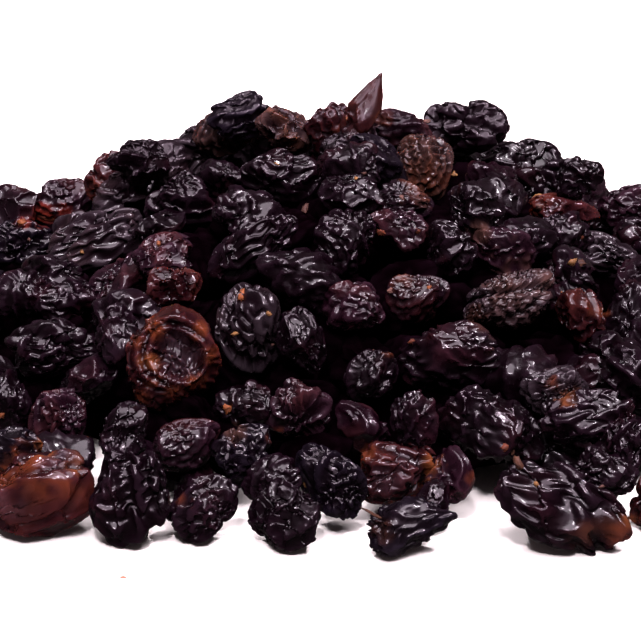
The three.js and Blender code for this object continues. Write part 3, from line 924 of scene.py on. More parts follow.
    def inner(self, outer: list[Currant]) -> list[Currant]:
        """Places the layer that is seen in the gaps between the outer currants.

        Args:
            outer: The outer currants.

        Returns:
            The inner ones.
        """
        crowd = Crowd(outer)
        for _ in range(INNER_TRIES):
            currant = self.scattered()
            currant.halves = currant.halves * INNER_SIZE
            currant.middle[2] -= self.lottery.between(INNER_DEPTH)
            is_low = currant.middle[2] < INNER_LOWEST * currant.half_height()
            is_past = self.form.spread(*currant.middle[:2]) > INNER_SPREAD
            if is_low or is_past or self.blocks_clearing(currant):
                continue
            if crowd.lets_in(currant, INNER_OVERLAP):
                crowd.add(currant)
        return crowd.currants[len(outer):]


class Ball:
    """Evenly spread points on a ball, the triangles between them, and each point's neighbours."""

    def __init__(self, count: int) -> None:
        """Makes the ball.

        Args:
            count: How many points it has.
        """
        self.points = np.roll(spiral(count), 1, axis=1)
        self.faces = self.hull()
        self.table, self.degree = self.neighbours()

    def hull(self) -> np.ndarray:
        """Finds the triangles between the points.

        Returns:
            Three point numbers a row, turning outwards.
        """
        mesh = bmesh.new()
        for point in self.points:
            mesh.verts.new(point)
        mesh.verts.index_update()
        bmesh.ops.convex_hull(mesh, input=mesh.verts)
        bmesh.ops.triangulate(mesh, faces=mesh.faces)
        faces = np.array([[v.index for v in face.verts] for face in mesh.faces])
        mesh.free()
        corners = self.points[faces]
        facing = np.cross(corners[:, 1] - corners[:, 0], corners[:, 2] - corners[:, 0])
        is_inward = (facing * corners.mean(1)).sum(1) < 0
        faces[is_inward] = faces[is_inward][:, ::-1]
        return faces

    def neighbours(self) -> tuple[np.ndarray, np.ndarray]:
        """Lists each point's neighbours.

        Returns:
            A table of point numbers, filled up with the point's own, and the number of neighbours.
        """
        count = len(self.points)
        edges = np.vstack([self.faces[:, [0, 1]], self.faces[:, [1, 2]], self.faces[:, [2, 0]]])
        edges = np.unique(np.sort(edges, axis=1), axis=0)
        both = np.vstack([edges, edges[:, ::-1]])
        both = both[np.argsort(both[:, 0], kind="stable")]
        degree = np.bincount(both[:, 0], minlength=count)
        table = np.tile(np.arange(count)[:, None], (1, degree.max()))
        start = np.concatenate([[0], np.cumsum(degree)[:-1]])
        table[both[:, 0], np.arange(len(both)) - start[both[:, 0]]] = both[:, 1]
        return table, degree


@dataclass(frozen=True)
class Stage:
    """One stretch of a skin's drying.

    Attributes:
        steps: How long it takes.
        growth: How much longer the skin is than its core by its end.
        bend: How stiff the skin is against bending meanwhile.
    """

    steps: int
    growth: float
    bend: float


@dataclass(frozen=True)
class CoreShape:
    """The shrunken flesh under a skin.

    Attributes:
        planes: How many flat sides press on it.
        edge: How sharp the edges between them are.
        press: How unequally deep they press.
        dents: How many dents and bumps it has.
        depth: How deep they are.
        breadth: How narrow they are, from the broadest to the narrowest.
        troughs: How many furrows run over it.
        trough_depth: How deep those are.
        ridge: How high thin ridges stand between the pressed sides.
    """

    planes: int = 14
    edge: float = 9.0
    press: float = 0.25
    dents: int = 8
    depth: float = 0.2
    breadth: Range = (3.0, 12.0)
    troughs: int = 0
    trough_depth: float = 0.22
    ridge: float = 0.0


BROAD_THEN_FINE = (Stage(190, 1.5, 1.2), Stage(120, 1.7, 0.2))
MEDIUM_THEN_FINE = (Stage(180, 1.4, 1.2), Stage(150, 1.6, 0.2))
EVEN = (Stage(260, 1.35, 0.25),)
FEW_FOLDS = (Stage(240, 1.4, 1.0), Stage(60, 1.45, 0.5))
SLIGHT = (Stage(160, 1.25, 0.6), Stage(120, 1.45, 0.15))


@dataclass(frozen=True)
class Recipe:
    """How one skin wrinkles.

    Attributes:
        seed: Starts its random numbers.
        form: The shape that it serves.
        axes: Half of its size along each direction, in millimetres.
        core: The flesh under it.
        stages: Its drying.
        hold_out: How hard the flesh pulls the skin back.
        hold_in: How hard it pushes the skin out.
        steady: How hard it keeps the skin's broad shape.
        passes: How broad that shape is.
        tie: How hard each point clings to its place along the flesh.
        unevenness: How much the growth differs over the skin.
        lengthwise: How much less the skin grows along its length.
        taper: How much thinner one end is.
    """

    seed: int
    form: Form = Form.ANY
    axes: tuple[float, float, float] = (4.8, 3.9, 3.4)
    core: CoreShape = CoreShape()
    stages: tuple[Stage, ...] = BROAD_THEN_FINE
    hold_out: float = 0.005
    hold_in: float = 0.05
    steady: float = 0.08
    passes: int = 24
    tie: float = 0.12
    unevenness: float = 0.3
    lengthwise: float = 0.0
    taper: float = 0.0


@dataclass
class WrinkledSkin:
    """A relaxed skin.

    Attributes:
        form: The shape that it serves.
        ball: The ball whose points and triangles it uses.
        places: Its points.
        relief: How far each point stands out from the broad shape, from -1 to 1.
    """

    OWN_SHARE = 0.6

    form: Form
    ball: Ball
    places: np.ndarray
    relief: np.ndarray

    def coarser(self, ball: Ball) -> "WrinkledSkin":
        """Takes the same shape at fewer points.

        Args:
            ball: The ball with fewer points.

        Returns:
            The coarser skin.
        """
        nearest = np.argmax(ball.points @ self.ball.points.T, axis=1)
        around = self.ball.table[nearest]
        places = self.OWN_SHARE * self.places[nearest] + (1 - self.OWN_SHARE) * self.places[around].mean(1)
        return WrinkledSkin(self.form, ball, places, self.relief[nearest])


class Flesh:
    """The shrunken core of one skin, as a radius in every direction."""

    FARTHEST = 1.13
    TROUGH_WIDTH = 0.13
    RIDGE_WIDTH = 0.05

    def __init__(self, shape: CoreShape, rng: np.random.Generator) -> None:
        """Draws where its sides, dents and furrows are.

        Args:
            shape: What it has of each.
            rng: Random numbers.
        """
        self.shape = shape
        sides = unit(spiral(shape.planes) + rng.normal(scale=0.22, size=(shape.planes, 3)))
        self.sides = sides @ random_turn(rng)
        self.offsets = rng.uniform(1 - shape.press, 1.0, shape.planes)
        self.dents = unit(rng.normal(size=(shape.dents, 3)))
        self.depths = rng.uniform(-shape.depth, shape.depth * 0.3, shape.dents)
        self.breadths = rng.uniform(*shape.breadth, shape.dents)
        self.across = unit(rng.normal(size=(shape.troughs + 1, 3)) * np.array([0.35, 1.0, 1.0]))[1:]
        self.beside = rng.uniform(-0.5, 0.5, shape.troughs)

    def radius(self, directions: np.ndarray) -> np.ndarray:
        """Gives the flesh's radius.

        Args:
            directions: Directions of length 1.

        Returns:
            A radius for each, near 1.
        """
        shape = self.shape
        facing = np.maximum(directions @ self.sides.T, 0) / self.offsets
        radius = np.minimum((facing**shape.edge).sum(1) ** (-1 / shape.edge), self.FARTHEST)
        if shape.ridge:
            nearest = np.sort(facing, axis=1)[:, -2:]
            radius = radius + shape.ridge * (swelling(nearest[:, 1] - nearest[:, 0], self.RIDGE_WIDTH) - 0.5)
        radius = radius + (np.exp(-self.breadths * (1 - directions @ self.dents.T)) * self.depths).sum(1)
        if shape.troughs:
            furrows = swelling(directions @ self.across.T - self.beside, self.TROUGH_WIDTH)
            radius = radius - shape.trough_depth * furrows.sum(1)
        return radius


@dataclass(frozen=True)
class Fold:
    """A fold that runs around an opening.

    Attributes:
        away: How far out it is, 1 being the opening's edge.
        width: Its half width, in the same measure.
        height: How high it stands in millimetres, or how deep it lies if negative.
    """

    away: float
    width: float
    height: float


@dataclass(frozen=True)
class Hollow:
    """The side of one currant that is sunk in, with a notched rim and folds in crescents beside it.

    Attributes:
        tilt: How far it is turned.
        middle: Its middle, along its own length and width.
        opening: Its radius.
        steepness: How softly its edge falls, as a share of the radius.
        floor: The height of its floor above the currant's middle.
        rim: The fold along its edge.
        left: The crescents on its left.
        right: The folds on its other side.
        right_angle: Where those are.
        notch: Where its rim is broken.
        notch_depth: How deep the break is.
    """

    tilt: float = math.radians(60)
    middle: Range = (0.6, 0.8)
    opening: float = 2.6
    steepness: float = 0.05
    floor: float = 1.8
    rim: Fold = Fold(1.13, 0.11, 0.5)
    left: tuple[Fold, ...] = (
        Fold(1.33, 0.09, -0.55), Fold(1.52, 0.09, 0.45), Fold(1.72, 0.09, -0.45), Fold(1.9, 0.09, 0.2),
    )
    right: tuple[Fold, ...] = (Fold(1.6, 0.15, 0.3), Fold(1.33, 0.1, -0.55))
    right_angle: float = 1.1
    notch: float = math.radians(97)
    notch_depth: float = 1.1

    def sink(self, place: np.ndarray, relief: np.ndarray) -> tuple[np.ndarray, np.ndarray]:
        """Sinks in the side that faces the eye.

        Args:
            place: A skin's points.
            relief: How far each stands out.

        Returns:
            The new points and what each of them now stands out, set lower inside the hollow as painted shade.
        """
        right = place[:, 0] * math.cos(self.tilt) - place[:, 1] * math.sin(self.tilt) - self.middle[0]
        up = place[:, 0] * math.sin(self.tilt) + place[:, 1] * math.cos(self.tilt) - self.middle[1]
        around = np.arctan2(up, right)
        opening = self.opening * (1 + 0.06 * np.cos(2 * around + 0.6) + 0.05 * np.cos(3 * around + 1))
        away = np.hypot(right, up) / opening
        front = np.clip(place[:, 2] / 1.2, 0, 1)
        within = front / (1 + np.exp(np.clip((away - 1) / self.steepness, -30, 30)))
        floor = self.floor + 0.35 * relief + 0.35 * np.cos(2.1 * right + 0.7) * np.cos(1.7 * up + 0.4)
        on_left = np.clip(0.45 - 0.9 * np.cos(around + 0.2), 0, 1)
        on_right = np.clip(1.6 * np.cos(around - self.right_angle) - 0.6, 0, 1)
        folds = self.rim.height * swelling(away - self.rim.away, self.rim.width)
        for fold in self.left:
            wavy = fold.away + 0.06 * np.cos(2 * around + 3 * fold.away)
            folds += on_left * fold.height * swelling(away - wavy, fold.width)
        for fold in self.right:
            folds += on_right * fold.height * swelling(away - fold.away, fold.width)
        apart = np.abs((around - self.notch + math.pi) % TURN - math.pi)
        folds -= self.notch_depth * swelling(apart, 0.14) * swelling(away - 1.15, 0.3)
        lift = folds * (1 - within) * front
        sunk = place.copy()
        sunk[:, 2] += within * (floor - place[:, 2]) + lift
        # The inside gets less relief than its height gives, which paints it darker as shade in the recess
        return sunk, np.clip(0.7 * relief + 1.6 * lift - 0.2 * within, -1, 1)


class SkinPress:
    """Relaxes skins that are too large for their flesh."""

    PULL = 6.0
    DAMPING = 0.86
    STEP = 0.5
    FORCE_STEP = 0.35
    ROUGHNESS = 0.02
    RAMP = 0.7
    BROAD_PASSES = 14
    PEAKING = 0.6
    LIMITS = ((60, 0.45), (14, 0.25))
    SHORTENING = 0.7

    def __init__(self, ball: Ball) -> None:
        """Gets ready for the skins of one ball.

        Args:
            ball: The ball.
        """
        self.ball = ball
        self.live = (ball.table != np.arange(len(ball.points))[:, None]).astype(float)
        self.share = 1.0 / ball.degree

    def around(self, values: np.ndarray) -> np.ndarray:
        """Averages each point's neighbours.

        Args:
            values: One number or vector a point.

        Returns:
            The averages.
        """
        if values.ndim == 1:
            return (values[self.ball.table] * self.live).sum(1) * self.share
        return (values[self.ball.table] * self.live[..., None]).sum(1) * self.share[:, None]

    def broad(self, values: np.ndarray, passes: int) -> np.ndarray:
        """Smooths numbers over the skin.

        Args:
            values: One number a point.
            passes: How far to smooth them.

        Returns:
            The smooth numbers.
        """
        for _ in range(passes):
            values = self.around(values)
        return values

    def growth_shares(
        self, recipe: Recipe, edges: np.ndarray, rest: np.ndarray, rng: np.random.Generator
    ) -> np.ndarray:
        """Works out how the growth is shared over the skin.

        Args:
            recipe: How the skin wrinkles.
            edges: From each point to its neighbours.
            rest: Their lengths.
            rng: Random numbers.

        Returns:
            A share for each edge.
        """
        lush = np.exp(-4 * (1 - self.ball.points @ unit(rng.normal(size=(5, 3))).T)).sum(1)
        lush = (lush - lush.min()) / np.ptp(lush)
        share = 1 - recipe.unevenness + 2 * recipe.unevenness * lush
        along = np.abs(edges[..., 0]) / (rest + 1e-9)
        return 0.5 * (share[:, None] + share[self.ball.table]) * (1 - recipe.lengthwise * along**2)

    def relax(self, recipe: Recipe) -> WrinkledSkin:
        """Relaxes one skin.

        Args:
            recipe: How it wrinkles.

        Returns:
            The wrinkled skin.
        """
        rng = np.random.default_rng(recipe.seed)
        flesh = Flesh(recipe.core, rng)
        points, table = self.ball.points, self.ball.table
        axes = np.array(recipe.axes)
        flat = points * axes
        start = flat * flesh.radius(points)[:, None]
        edges = flat[table] - flat[:, None]
        rest = np.sqrt((edges * edges).sum(2))
        shares = self.growth_shares(recipe, edges, rest, rng)
        place = start + rng.normal(scale=self.ROUGHNESS, size=flat.shape)
        speed = np.zeros_like(place)
        grown = 0.0
        for stage in recipe.stages:
            before = grown
            for step in range(stage.steps):
                ramp = min(1.0, (step + 1) / (self.RAMP * stage.steps))
                grown = before + (stage.growth - 1 - before) * ramp
                edges = place[table] - place[:, None]
                length = np.sqrt((edges * edges).sum(2)) + 1e-9
                pull = self.live * (length - rest * (1 + shares * grown)) / length
                force = (edges * pull[..., None]).sum(1)
                moved = place - start
                bent = self.around(moved) - moved
                force -= stage.bend * self.PULL * (self.around(bent) - bent)
                scaled = place / axes
                radius = np.sqrt((scaled * scaled).sum(1))
                direction = scaled / radius[:, None]
                outward = unit(scaled / axes)
                height = (radius - flesh.radius(direction)) * np.sqrt(((direction * axes) ** 2).sum(1))
                hold = np.where(height > 0, recipe.hold_out, recipe.hold_in) * self.PULL
                pressed = hold * height + recipe.steady * self.broad(height, recipe.passes)
                force -= pressed[:, None] * outward
                force -= recipe.tie * (moved - (moved * outward).sum(1)[:, None] * outward)
                speed = self.DAMPING * speed + force * self.STEP * self.FORCE_STEP
                place = place + speed * self.STEP
        bulge = radius * np.sqrt(((direction * axes) ** 2).sum(1))
        return self.finished(recipe, place, outward, bulge)

    def finished(
        self, recipe: Recipe, place: np.ndarray, outward: np.ndarray, bulge: np.ndarray
    ) -> WrinkledSkin:
        """Shortens a relaxed skin's peaks, sharpens its folds and gives it what its form asks.

        Args:
            recipe: How it wrinkled.
            place: Its points.
            outward: The direction out of the flesh at each.
            bulge: How far out each is.

        Returns:
            The skin.
        """
        for passes, limit in self.LIMITS:
            over = self.SHORTENING * np.maximum(bulge - self.broad(bulge, passes) - limit, 0)
            bulge -= over
            place -= over[:, None] * outward
        relief = bulge - self.broad(bulge, self.BROAD_PASSES)
        relief = np.clip(relief / (2.0 * relief.std()), -1, 1)
        level = 0.5 + 0.5 * relief
        place -= (self.PEAKING * (level - level**2.5))[:, None] * outward
        if recipe.form is Form.HOLLOW:
            place, relief = Hollow().sink(place, relief)
        along = (place[:, 0] - place[:, 0].min()) / np.ptp(place[:, 0])
        place[:, 1:] *= (1 - recipe.taper * along)[:, None]
        place[:, 1] += recipe.taper * along * np.abs(place[:, 1]).max()
        return WrinkledSkin(recipe.form, self.ball, place, relief)


RECIPES: tuple[Recipe, ...] = (
    Recipe(1),
    Recipe(2),
    Recipe(3, core=CoreShape(dents=12, depth=0.28)),
    Recipe(4, stages=MEDIUM_THEN_FINE, steady=0.1, passes=20, tie=0.3, hold_in=0.3),
    Recipe(5, stages=MEDIUM_THEN_FINE, steady=0.1, passes=20, tie=0.3, hold_in=0.3),
    Recipe(6, core=CoreShape(planes=11, edge=12)),
    Recipe(7, core=CoreShape(troughs=2)),
    Recipe(8, stages=MEDIUM_THEN_FINE, core=CoreShape(planes=12, dents=12, depth=0.3)),
    Recipe(31, stages=SLIGHT, hold_in=0.2, hold_out=0.05, steady=0.02,
           core=CoreShape(planes=40, edge=20, ridge=0.12, dents=10, depth=0.3)),
    Recipe(32, stages=MEDIUM_THEN_FINE, hold_in=0.2, hold_out=0.05, steady=0.02,
           core=CoreShape(planes=30, edge=18, ridge=0.12, dents=10, depth=0.3)),
    Recipe(33, stages=FEW_FOLDS, hold_in=0.2, hold_out=0.03, steady=0.03,
           core=CoreShape(planes=28, edge=16, ridge=0.13, dents=10, depth=0.3)),
    Recipe(11, Form.LONG_FOLDS, axes=(5.6, 3.3, 2.9), lengthwise=0.75, core=CoreShape(troughs=3)),
    Recipe(12, Form.LONG_FOLDS, axes=(5.4, 3.4, 3.0), lengthwise=0.6,
           core=CoreShape(troughs=2, trough_depth=0.3)),
    Recipe(13, Form.FINE, stages=EVEN, hold_in=0.3, steady=0.2, passes=10, tie=0.3),
    Recipe(14, Form.FINE, stages=MEDIUM_THEN_FINE, steady=0.15, passes=14, tie=0.4, hold_in=0.4),
    Recipe(15, Form.SMOOTH, axes=(6.0, 4.2, 3.8), stages=(Stage(190, 1.2, 0.8), Stage(110, 1.38, 0.08)),
           hold_out=0.1, hold_in=0.3, steady=0.0, lengthwise=0.6, tie=0.1,
           core=CoreShape(planes=10, edge=14, press=0.3, dents=5, troughs=3, trough_depth=0.14, ridge=0.06)),
    Recipe(16, Form.LOBED, core=CoreShape(planes=10, edge=12, troughs=2, trough_depth=0.3)),
    Recipe(17, Form.LOBED, core=CoreShape(dents=6, depth=0.4, breadth=(3, 7))),
    Recipe(18, Form.ANGULAR, stages=FEW_FOLDS, core=CoreShape(planes=7, edge=14, press=0.35)),
    Recipe(19, Form.WEDGE, axes=(4.8, 2.6, 2.4), lengthwise=0.7, taper=0.85,
           stages=(Stage(160, 1.15, 0.8), Stage(80, 1.3, 0.15)),
           core=CoreShape(planes=6, edge=14, press=0.35)),
    Recipe(20, Form.HOLLOW, axes=(5.4, 4.8, 4.2), stages=(Stage(150, 1.25, 0.6), Stage(130, 1.55, 0.1)),
           hold_out=0.05, hold_in=0.3, steady=0.02, tie=0.2, core=CoreShape(depth=0.06, press=0.08, dents=6)),
    Recipe(21, Form.GIANT, axes=(5.8, 3.9, 3.4), core=CoreShape(planes=12, edge=12, dents=12, depth=0.3)),
    Recipe(24, Form.PEBBLED, stages=(Stage(280, 1.5, 0.14),), hold_in=0.2, steady=0.25, passes=8, tie=0.3,
           core=CoreShape(dents=6, depth=0.12)),
    Recipe(25, Form.LONG_PEBBLED, axes=(5.4, 3.3, 2.9), stages=(Stage(280, 1.5, 0.06),),
           hold_in=0.2, steady=0.25, passes=8, tie=0.3,
           core=CoreShape(planes=24, dents=6, depth=0.15, troughs=2, trough_depth=0.3)),
    Recipe(22, Form.GIANT, axes=(5.2, 4.1, 3.5), stages=MEDIUM_THEN_FINE,
           core=CoreShape(dents=12, depth=0.32)),
)


class Fineness(Enum):
    """How many points a currant gets."""

    PROMINENT = 4200
    SHOWN = 2600
    AROUND = 1120
    RIM = 900
    INNER = 240


class ShapeShelf:
    """The relaxed skins, at every fineness."""

    FREE_FORMS = (Form.ANY, Form.ANY, Form.ANY, Form.FINE, Form.LOBED, Form.GIANT)

    def __init__(self) -> None:
        """Relaxes the skins, and takes coarser ones from them."""
        with ThreadPoolExecutor(4) as pool:
            skins = list(pool.map(SkinPress(Ball(Fineness.PROMINENT.value)).relax, RECIPES))
        self.skins: dict[Fineness, list[WrinkledSkin]] = {Fineness.PROMINENT: skins}
        for fineness in list(Fineness)[1:]:
            ball = Ball(fineness.value)
            self.skins[fineness] = [skin.coarser(ball) for skin in skins]

    def choose(self, form: Form, fineness: Fineness, rng: np.random.Generator) -> WrinkledSkin:
        """Picks a skin.

        Args:
            form: Its shape.
            fineness: How fine it is.
            rng: Random numbers.

        Returns:
            The skin.
        """
        if form is Form.ANY:
            form = self.FREE_FORMS[int(rng.integers(len(self.FREE_FORMS)))]
        fitting = [skin for skin in self.skins[fineness] if skin.form is form]
        return fitting[int(rng.integers(len(fitting)))]


@dataclass
class MeshDraft:
    """Points, triangles, colours and reliefs that gather into one mesh."""

    places: list[np.ndarray] = field(default_factory=list)
    faces: list[np.ndarray] = field(default_factory=list)
    tints: list[np.ndarray] = field(default_factory=list)
    reliefs: list[np.ndarray] = field(default_factory=list)
    count: int = 0

    def add(self, places: np.ndarray, faces: np.ndarray, tint: np.ndarray, relief: np.ndarray) -> None:
        """Takes in one body.

        Args:
            places: Its points in millimetres.
            faces: Its triangles.
            tint: A linear colour a point.
            relief: A relief a point.
        """
        self.places.append(places)
        self.faces.append(faces + self.count)
        self.tints.append(tint)
        self.reliefs.append(relief)
        self.count += len(places)

    def to_object(self, name: str, material: bpy.types.Material) -> bpy.types.Object:
        """Makes the mesh object.

        Args:
            name: Its name.
            material: Its material.

        Returns:
            The object, in metres.
        """
        faces = np.vstack(self.faces).astype(np.int32)
        mesh = bpy.data.meshes.new(name)
        mesh.vertices.add(self.count)
        mesh.vertices.foreach_set("co", (np.vstack(self.places) * MM).astype(np.float32).ravel())
        mesh.loops.add(faces.size)
        mesh.loops.foreach_set("vertex_index", faces.ravel())
        mesh.polygons.add(len(faces))
        mesh.polygons.foreach_set("loop_start", np.arange(0, faces.size, 3, dtype=np.int32))
        mesh.update(calc_edges=True)
        mesh.shade_smooth()
        colours = np.column_stack([np.vstack(self.tints), np.ones(self.count)]).astype(np.float32)
        mesh.color_attributes.new("tint", "FLOAT_COLOR", "POINT").data.foreach_set("color", colours.ravel())
        relief = np.concatenate(self.reliefs).astype(np.float32)
        mesh.attributes.new("relief", "FLOAT", "POINT").data.foreach_set("value", relief)
        mesh.materials.append(material)
        return place_in_scene(name, mesh)


class CurrantMaker:
    """Turns rough bodies into wrinkled, coloured currants."""

    WARP = 0.05
    WARP_SCALE = 1.6
    FLOOR_GAP = 0.02
    PRESSED = 0.15
    WAVES = 7
    BLUSH_DEPTH = 0.5
    BLUSH_SCALE = 7.0
    RIDGE_SCALE = 3.0
    RIDGE_POWER = 2.1
    PATCH_SCALE = 2.2
    SHADES: Range = (0.75, 1.25)
    TURNED = (Form.ANY, Form.FINE, Form.LOBED, Form.GIANT, Form.ANGULAR, Form.PEBBLED)

    def __init__(self, shelf: ShapeShelf, eye: Eye) -> None:
        """Takes the skins to choose from and the eye that the blushes face."""
        self.shelf, self.eye = shelf, eye
        self.rng = np.random.default_rng(0)

    def shape(self, currant: Currant, skin: WrinkledSkin) -> np.ndarray:
        """Fits a skin to a rough body.

        Args:
            currant: The rough body.
            skin: The skin.

        Returns:
            The skin's points in the heap.
        """
        places = skin.places
        if skin.form in self.TURNED:
            places = places @ random_turn(self.rng)
        size = np.ptp(places, axis=0)
        bend = np.column_stack([self.waves(skin.ball.points, self.WARP_SCALE) for _ in range(3)])
        places = places + self.WARP * size * bend
        low, high = places.min(0), places.max(0)
        local = (places - (low + high) / 2) / ((high - low) / 2) * currant.halves
        placed = local @ currant.directions + currant.middle
        if currant.middle[2] <= currant.half_height() + self.PRESSED:
            placed[:, 2] -= placed[:, 2].min() + self.PRESSED
        placed[:, 2] = np.maximum(placed[:, 2], self.FLOOR_GAP)
        return placed

    def blushed(self, places: np.ndarray, tint: np.ndarray, relief: np.ndarray) -> np.ndarray:
        """Colours the patches that lie on one currant, which are its own colours and also painted light,
        sheen and shade.

        Args:
            places: Its points.
            tint: Its colours.
            relief: Its relief, which takes more of the colour where it is high.

        Returns:
            The new colours.
        """
        offsets = places - self.eye.place
        nearest = offsets @ self.eye.forward
        is_front = nearest < np.median(nearest) + self.BLUSH_DEPTH
        for blush in BLUSHES:
            sight = self.eye.sight(blush.across, blush.up)
            along = offsets @ sight
            beside = np.linalg.norm(offsets - along[:, None] * sight, axis=1) / blush.size
            uneven = beside + 0.5 * self.waves(unit(places - places.mean(0)), self.BLUSH_SCALE)
            cover = blush.strength * np.clip(1.4 - uneven, 0, 1) * (0.6 + 0.45 * relief)
            tint = blend(tint, np.array(blush.colour), (np.clip(cover, 0, 1) * is_front)[:, None])
        return tint

    def make(self, number: int, currant: Currant, kind: Skin, fineness: Fineness, draft: MeshDraft) -> None:
        """Adds one currant to a draft.

        Args:
            number: Its number, which starts its random numbers.
            currant: Its rough body.
            kind: Its kind of skin.
            fineness: How fine it is.
            draft: The draft.
        """
        form, look = (currant.row.form, currant.row.look) if currant.row else (Form.ANY, 0)
        self.rng = np.random.default_rng([number, look])
        skin = self.shelf.choose(form, fineness, self.rng)
        places = self.shape(currant, skin)
        tint = self.colour(COLOURS[kind], skin.ball.points, skin.relief)
        if currant.row:
            tint = self.blushed(places, tint, skin.relief)
        draft.add(places, skin.ball.faces, tint, skin.relief)

    def waves(self, points: np.ndarray, scale: float) -> np.ndarray:
        """Gives smooth random numbers over a ball.

        Args:
            points: Points of the ball.
            scale: How quickly the numbers change.

        Returns:
            Numbers of about -1 to 1.
        """
        turns = self.rng.normal(scale=scale, size=(3, self.WAVES))
        starts = self.rng.uniform(0, TURN, self.WAVES)
        return np.cos(points @ turns + starts).sum(1) / 3

    def colour(self, colours: SkinColours, points: np.ndarray, relief: np.ndarray) -> np.ndarray:
        """Colours one skin, with painted shade in its creases and painted light on its ridges.

        Args:
            colours: Its kind's colours.
            points: Its points on the ball.
            relief: Its relief.

        Returns:
            A linear colour a point.
        """
        # Painted shade and light: by relief, the valley colour darkens the creases and the ridge colour
        # lightens the tops
        high = 0.45 + 0.55 * relief + 0.2 * self.waves(points, self.RIDGE_SCALE)
        high = np.clip(high, 0, 1)[:, None] ** self.RIDGE_POWER
        base = blend(np.array(colours.valley), np.array(colours.ridge), high)
        edge = self.waves(points, self.PATCH_SCALE) + 2 * colours.patchiness - 1
        patch = np.clip(1.4 * edge, 0, 1)[:, None] * 0.8 * (0.35 + 0.65 * high)
        return blend(base, np.array(colours.patch), patch) * self.rng.uniform(*self.SHADES)


class CrumbMaker:
    """Scraps of stalk and scars, set on the skins that they are seen on."""

    POINTS = 90
    ROUGHNESS = 0.5
    UNEVENNESS = 0.36
    ARCH = 0.12
    FLOOR_GAP = 0.01
    SHADES: Range = (0.35, 1.3)
    SUNK = 0.3
    STANDING = 0.38
    STRAYS = 40
    STRAY_START = (80.0, 120.0)
    STRAY_AIM = ((-45, 45), (-40, 45), 10.0)
    STRAY_TOP = 26.0
    STRAY_COLOURS = (ORANGE_AND_GLOW, GOLD, RUST_AND_GLOW, TAN)

    def __init__(self, eye: Eye, skins: list[bpy.types.Object]) -> None:
        """Takes the eye and the skins that the crumbs lie on."""
        self.eye, self.skins = eye, skins
        self.ball, self.rng, self.draft = Ball(self.POINTS), np.random.default_rng(31), MeshDraft()

    def landing(self, start: np.ndarray, direction: np.ndarray) -> tuple[np.ndarray, np.ndarray] | None:
        """Finds what a ray meets first.

        Args:
            start: Where it starts, in millimetres.
            direction: Where it goes.

        Returns:
            The place and the direction that the surface faces there, or None.
        """
        hits = (skin.ray_cast(Vector(start * MM), Vector(direction)) for skin in self.skins)
        found = [(np.array(place) / MM, np.array(normal)) for is_hit, place, normal, _ in hits if is_hit]
        return min(found, key=lambda hit: np.linalg.norm(hit[0] - start), default=None)

    def lay(self, place: np.ndarray, normal: np.ndarray, long: np.ndarray, crumb: Crumb) -> None:
        """Lays one crumb on a surface.

        Args:
            place: Where.
            normal: The direction that the surface faces.
            long: About where its length points.
            crumb: Its sizes and colour.
        """
        if crumb.stands:
            place = place + long * crumb.length * self.STANDING
            normal = unit(normal - long * float(long @ normal))
        else:
            long = unit(long - normal * float(long @ normal))
        axes = np.array([long, np.cross(normal, long), normal])
        halves = np.array([crumb.length, crumb.width, crumb.width * 0.6]) / 2
        points = self.ball.points
        folds, starts = self.rng.normal(scale=3.5, size=(3, 6)), self.rng.uniform(0, 6, 6)
        lumps = 1 + self.ROUGHNESS * np.cos(points @ folds + starts)
        uneven = 1 + self.rng.uniform(-self.UNEVENNESS, self.UNEVENNESS, (len(points), 1))
        body = points * lumps.mean(1)[:, None] * uneven * halves
        body[:, 2] += self.ARCH * crumb.length * (1 - (2 * body[:, 0] / crumb.length) ** 2)
        places = body @ axes + place - normal * self.SUNK * crumb.width / 2
        places[:, 2] = np.maximum(places[:, 2], self.FLOOR_GAP)
        shade = self.rng.uniform(*self.SHADES, (len(points), 1))
        self.draft.add(places, self.ball.faces, np.array(crumb.colour) * shade, np.zeros(len(points)))

    def build(self, material: bpy.types.Material) -> bpy.types.Object:
        """Builds every crumb as one mesh.

        Args:
            material: Its material.

        Returns:
            The object.
        """
        for crumb in CRUMBS:
            sight = self.eye.sight(crumb.across, crumb.up)
            found = self.landing(self.eye.place, sight)
            if found is None:
                floor = self.eye.place - sight * (self.eye.place[2] / sight[2])
                found = (floor, np.array([0.0, 0.0, 1.0]))
            self.lay(*found, self.eye.turned(crumb.turn)[0], crumb)
        away, height = self.STRAY_START
        across, deep, low = self.STRAY_AIM
        for _ in range(self.STRAYS):
            around = self.rng.uniform(0, TURN)
            start = np.array([math.cos(around) * away, math.sin(around) * away, height])
            aim = np.array([self.rng.uniform(*across), self.rng.uniform(*deep), low])
            found = self.landing(start, unit(aim - start))
            if found is None or found[0][2] > self.STRAY_TOP:
                continue
            size = self.rng.uniform(0.4, 1.0)
            length = size * self.rng.uniform(1, 1.8)
            colour = self.STRAY_COLOURS[int(self.rng.integers(len(self.STRAY_COLOURS)))]
            self.lay(*found, self.rng.normal(size=3), Crumb(0, 0, length, size * 0.8, 0, colour))
        return self.draft.to_object("stalk_crumbs", material)


Value = "Socket | float"


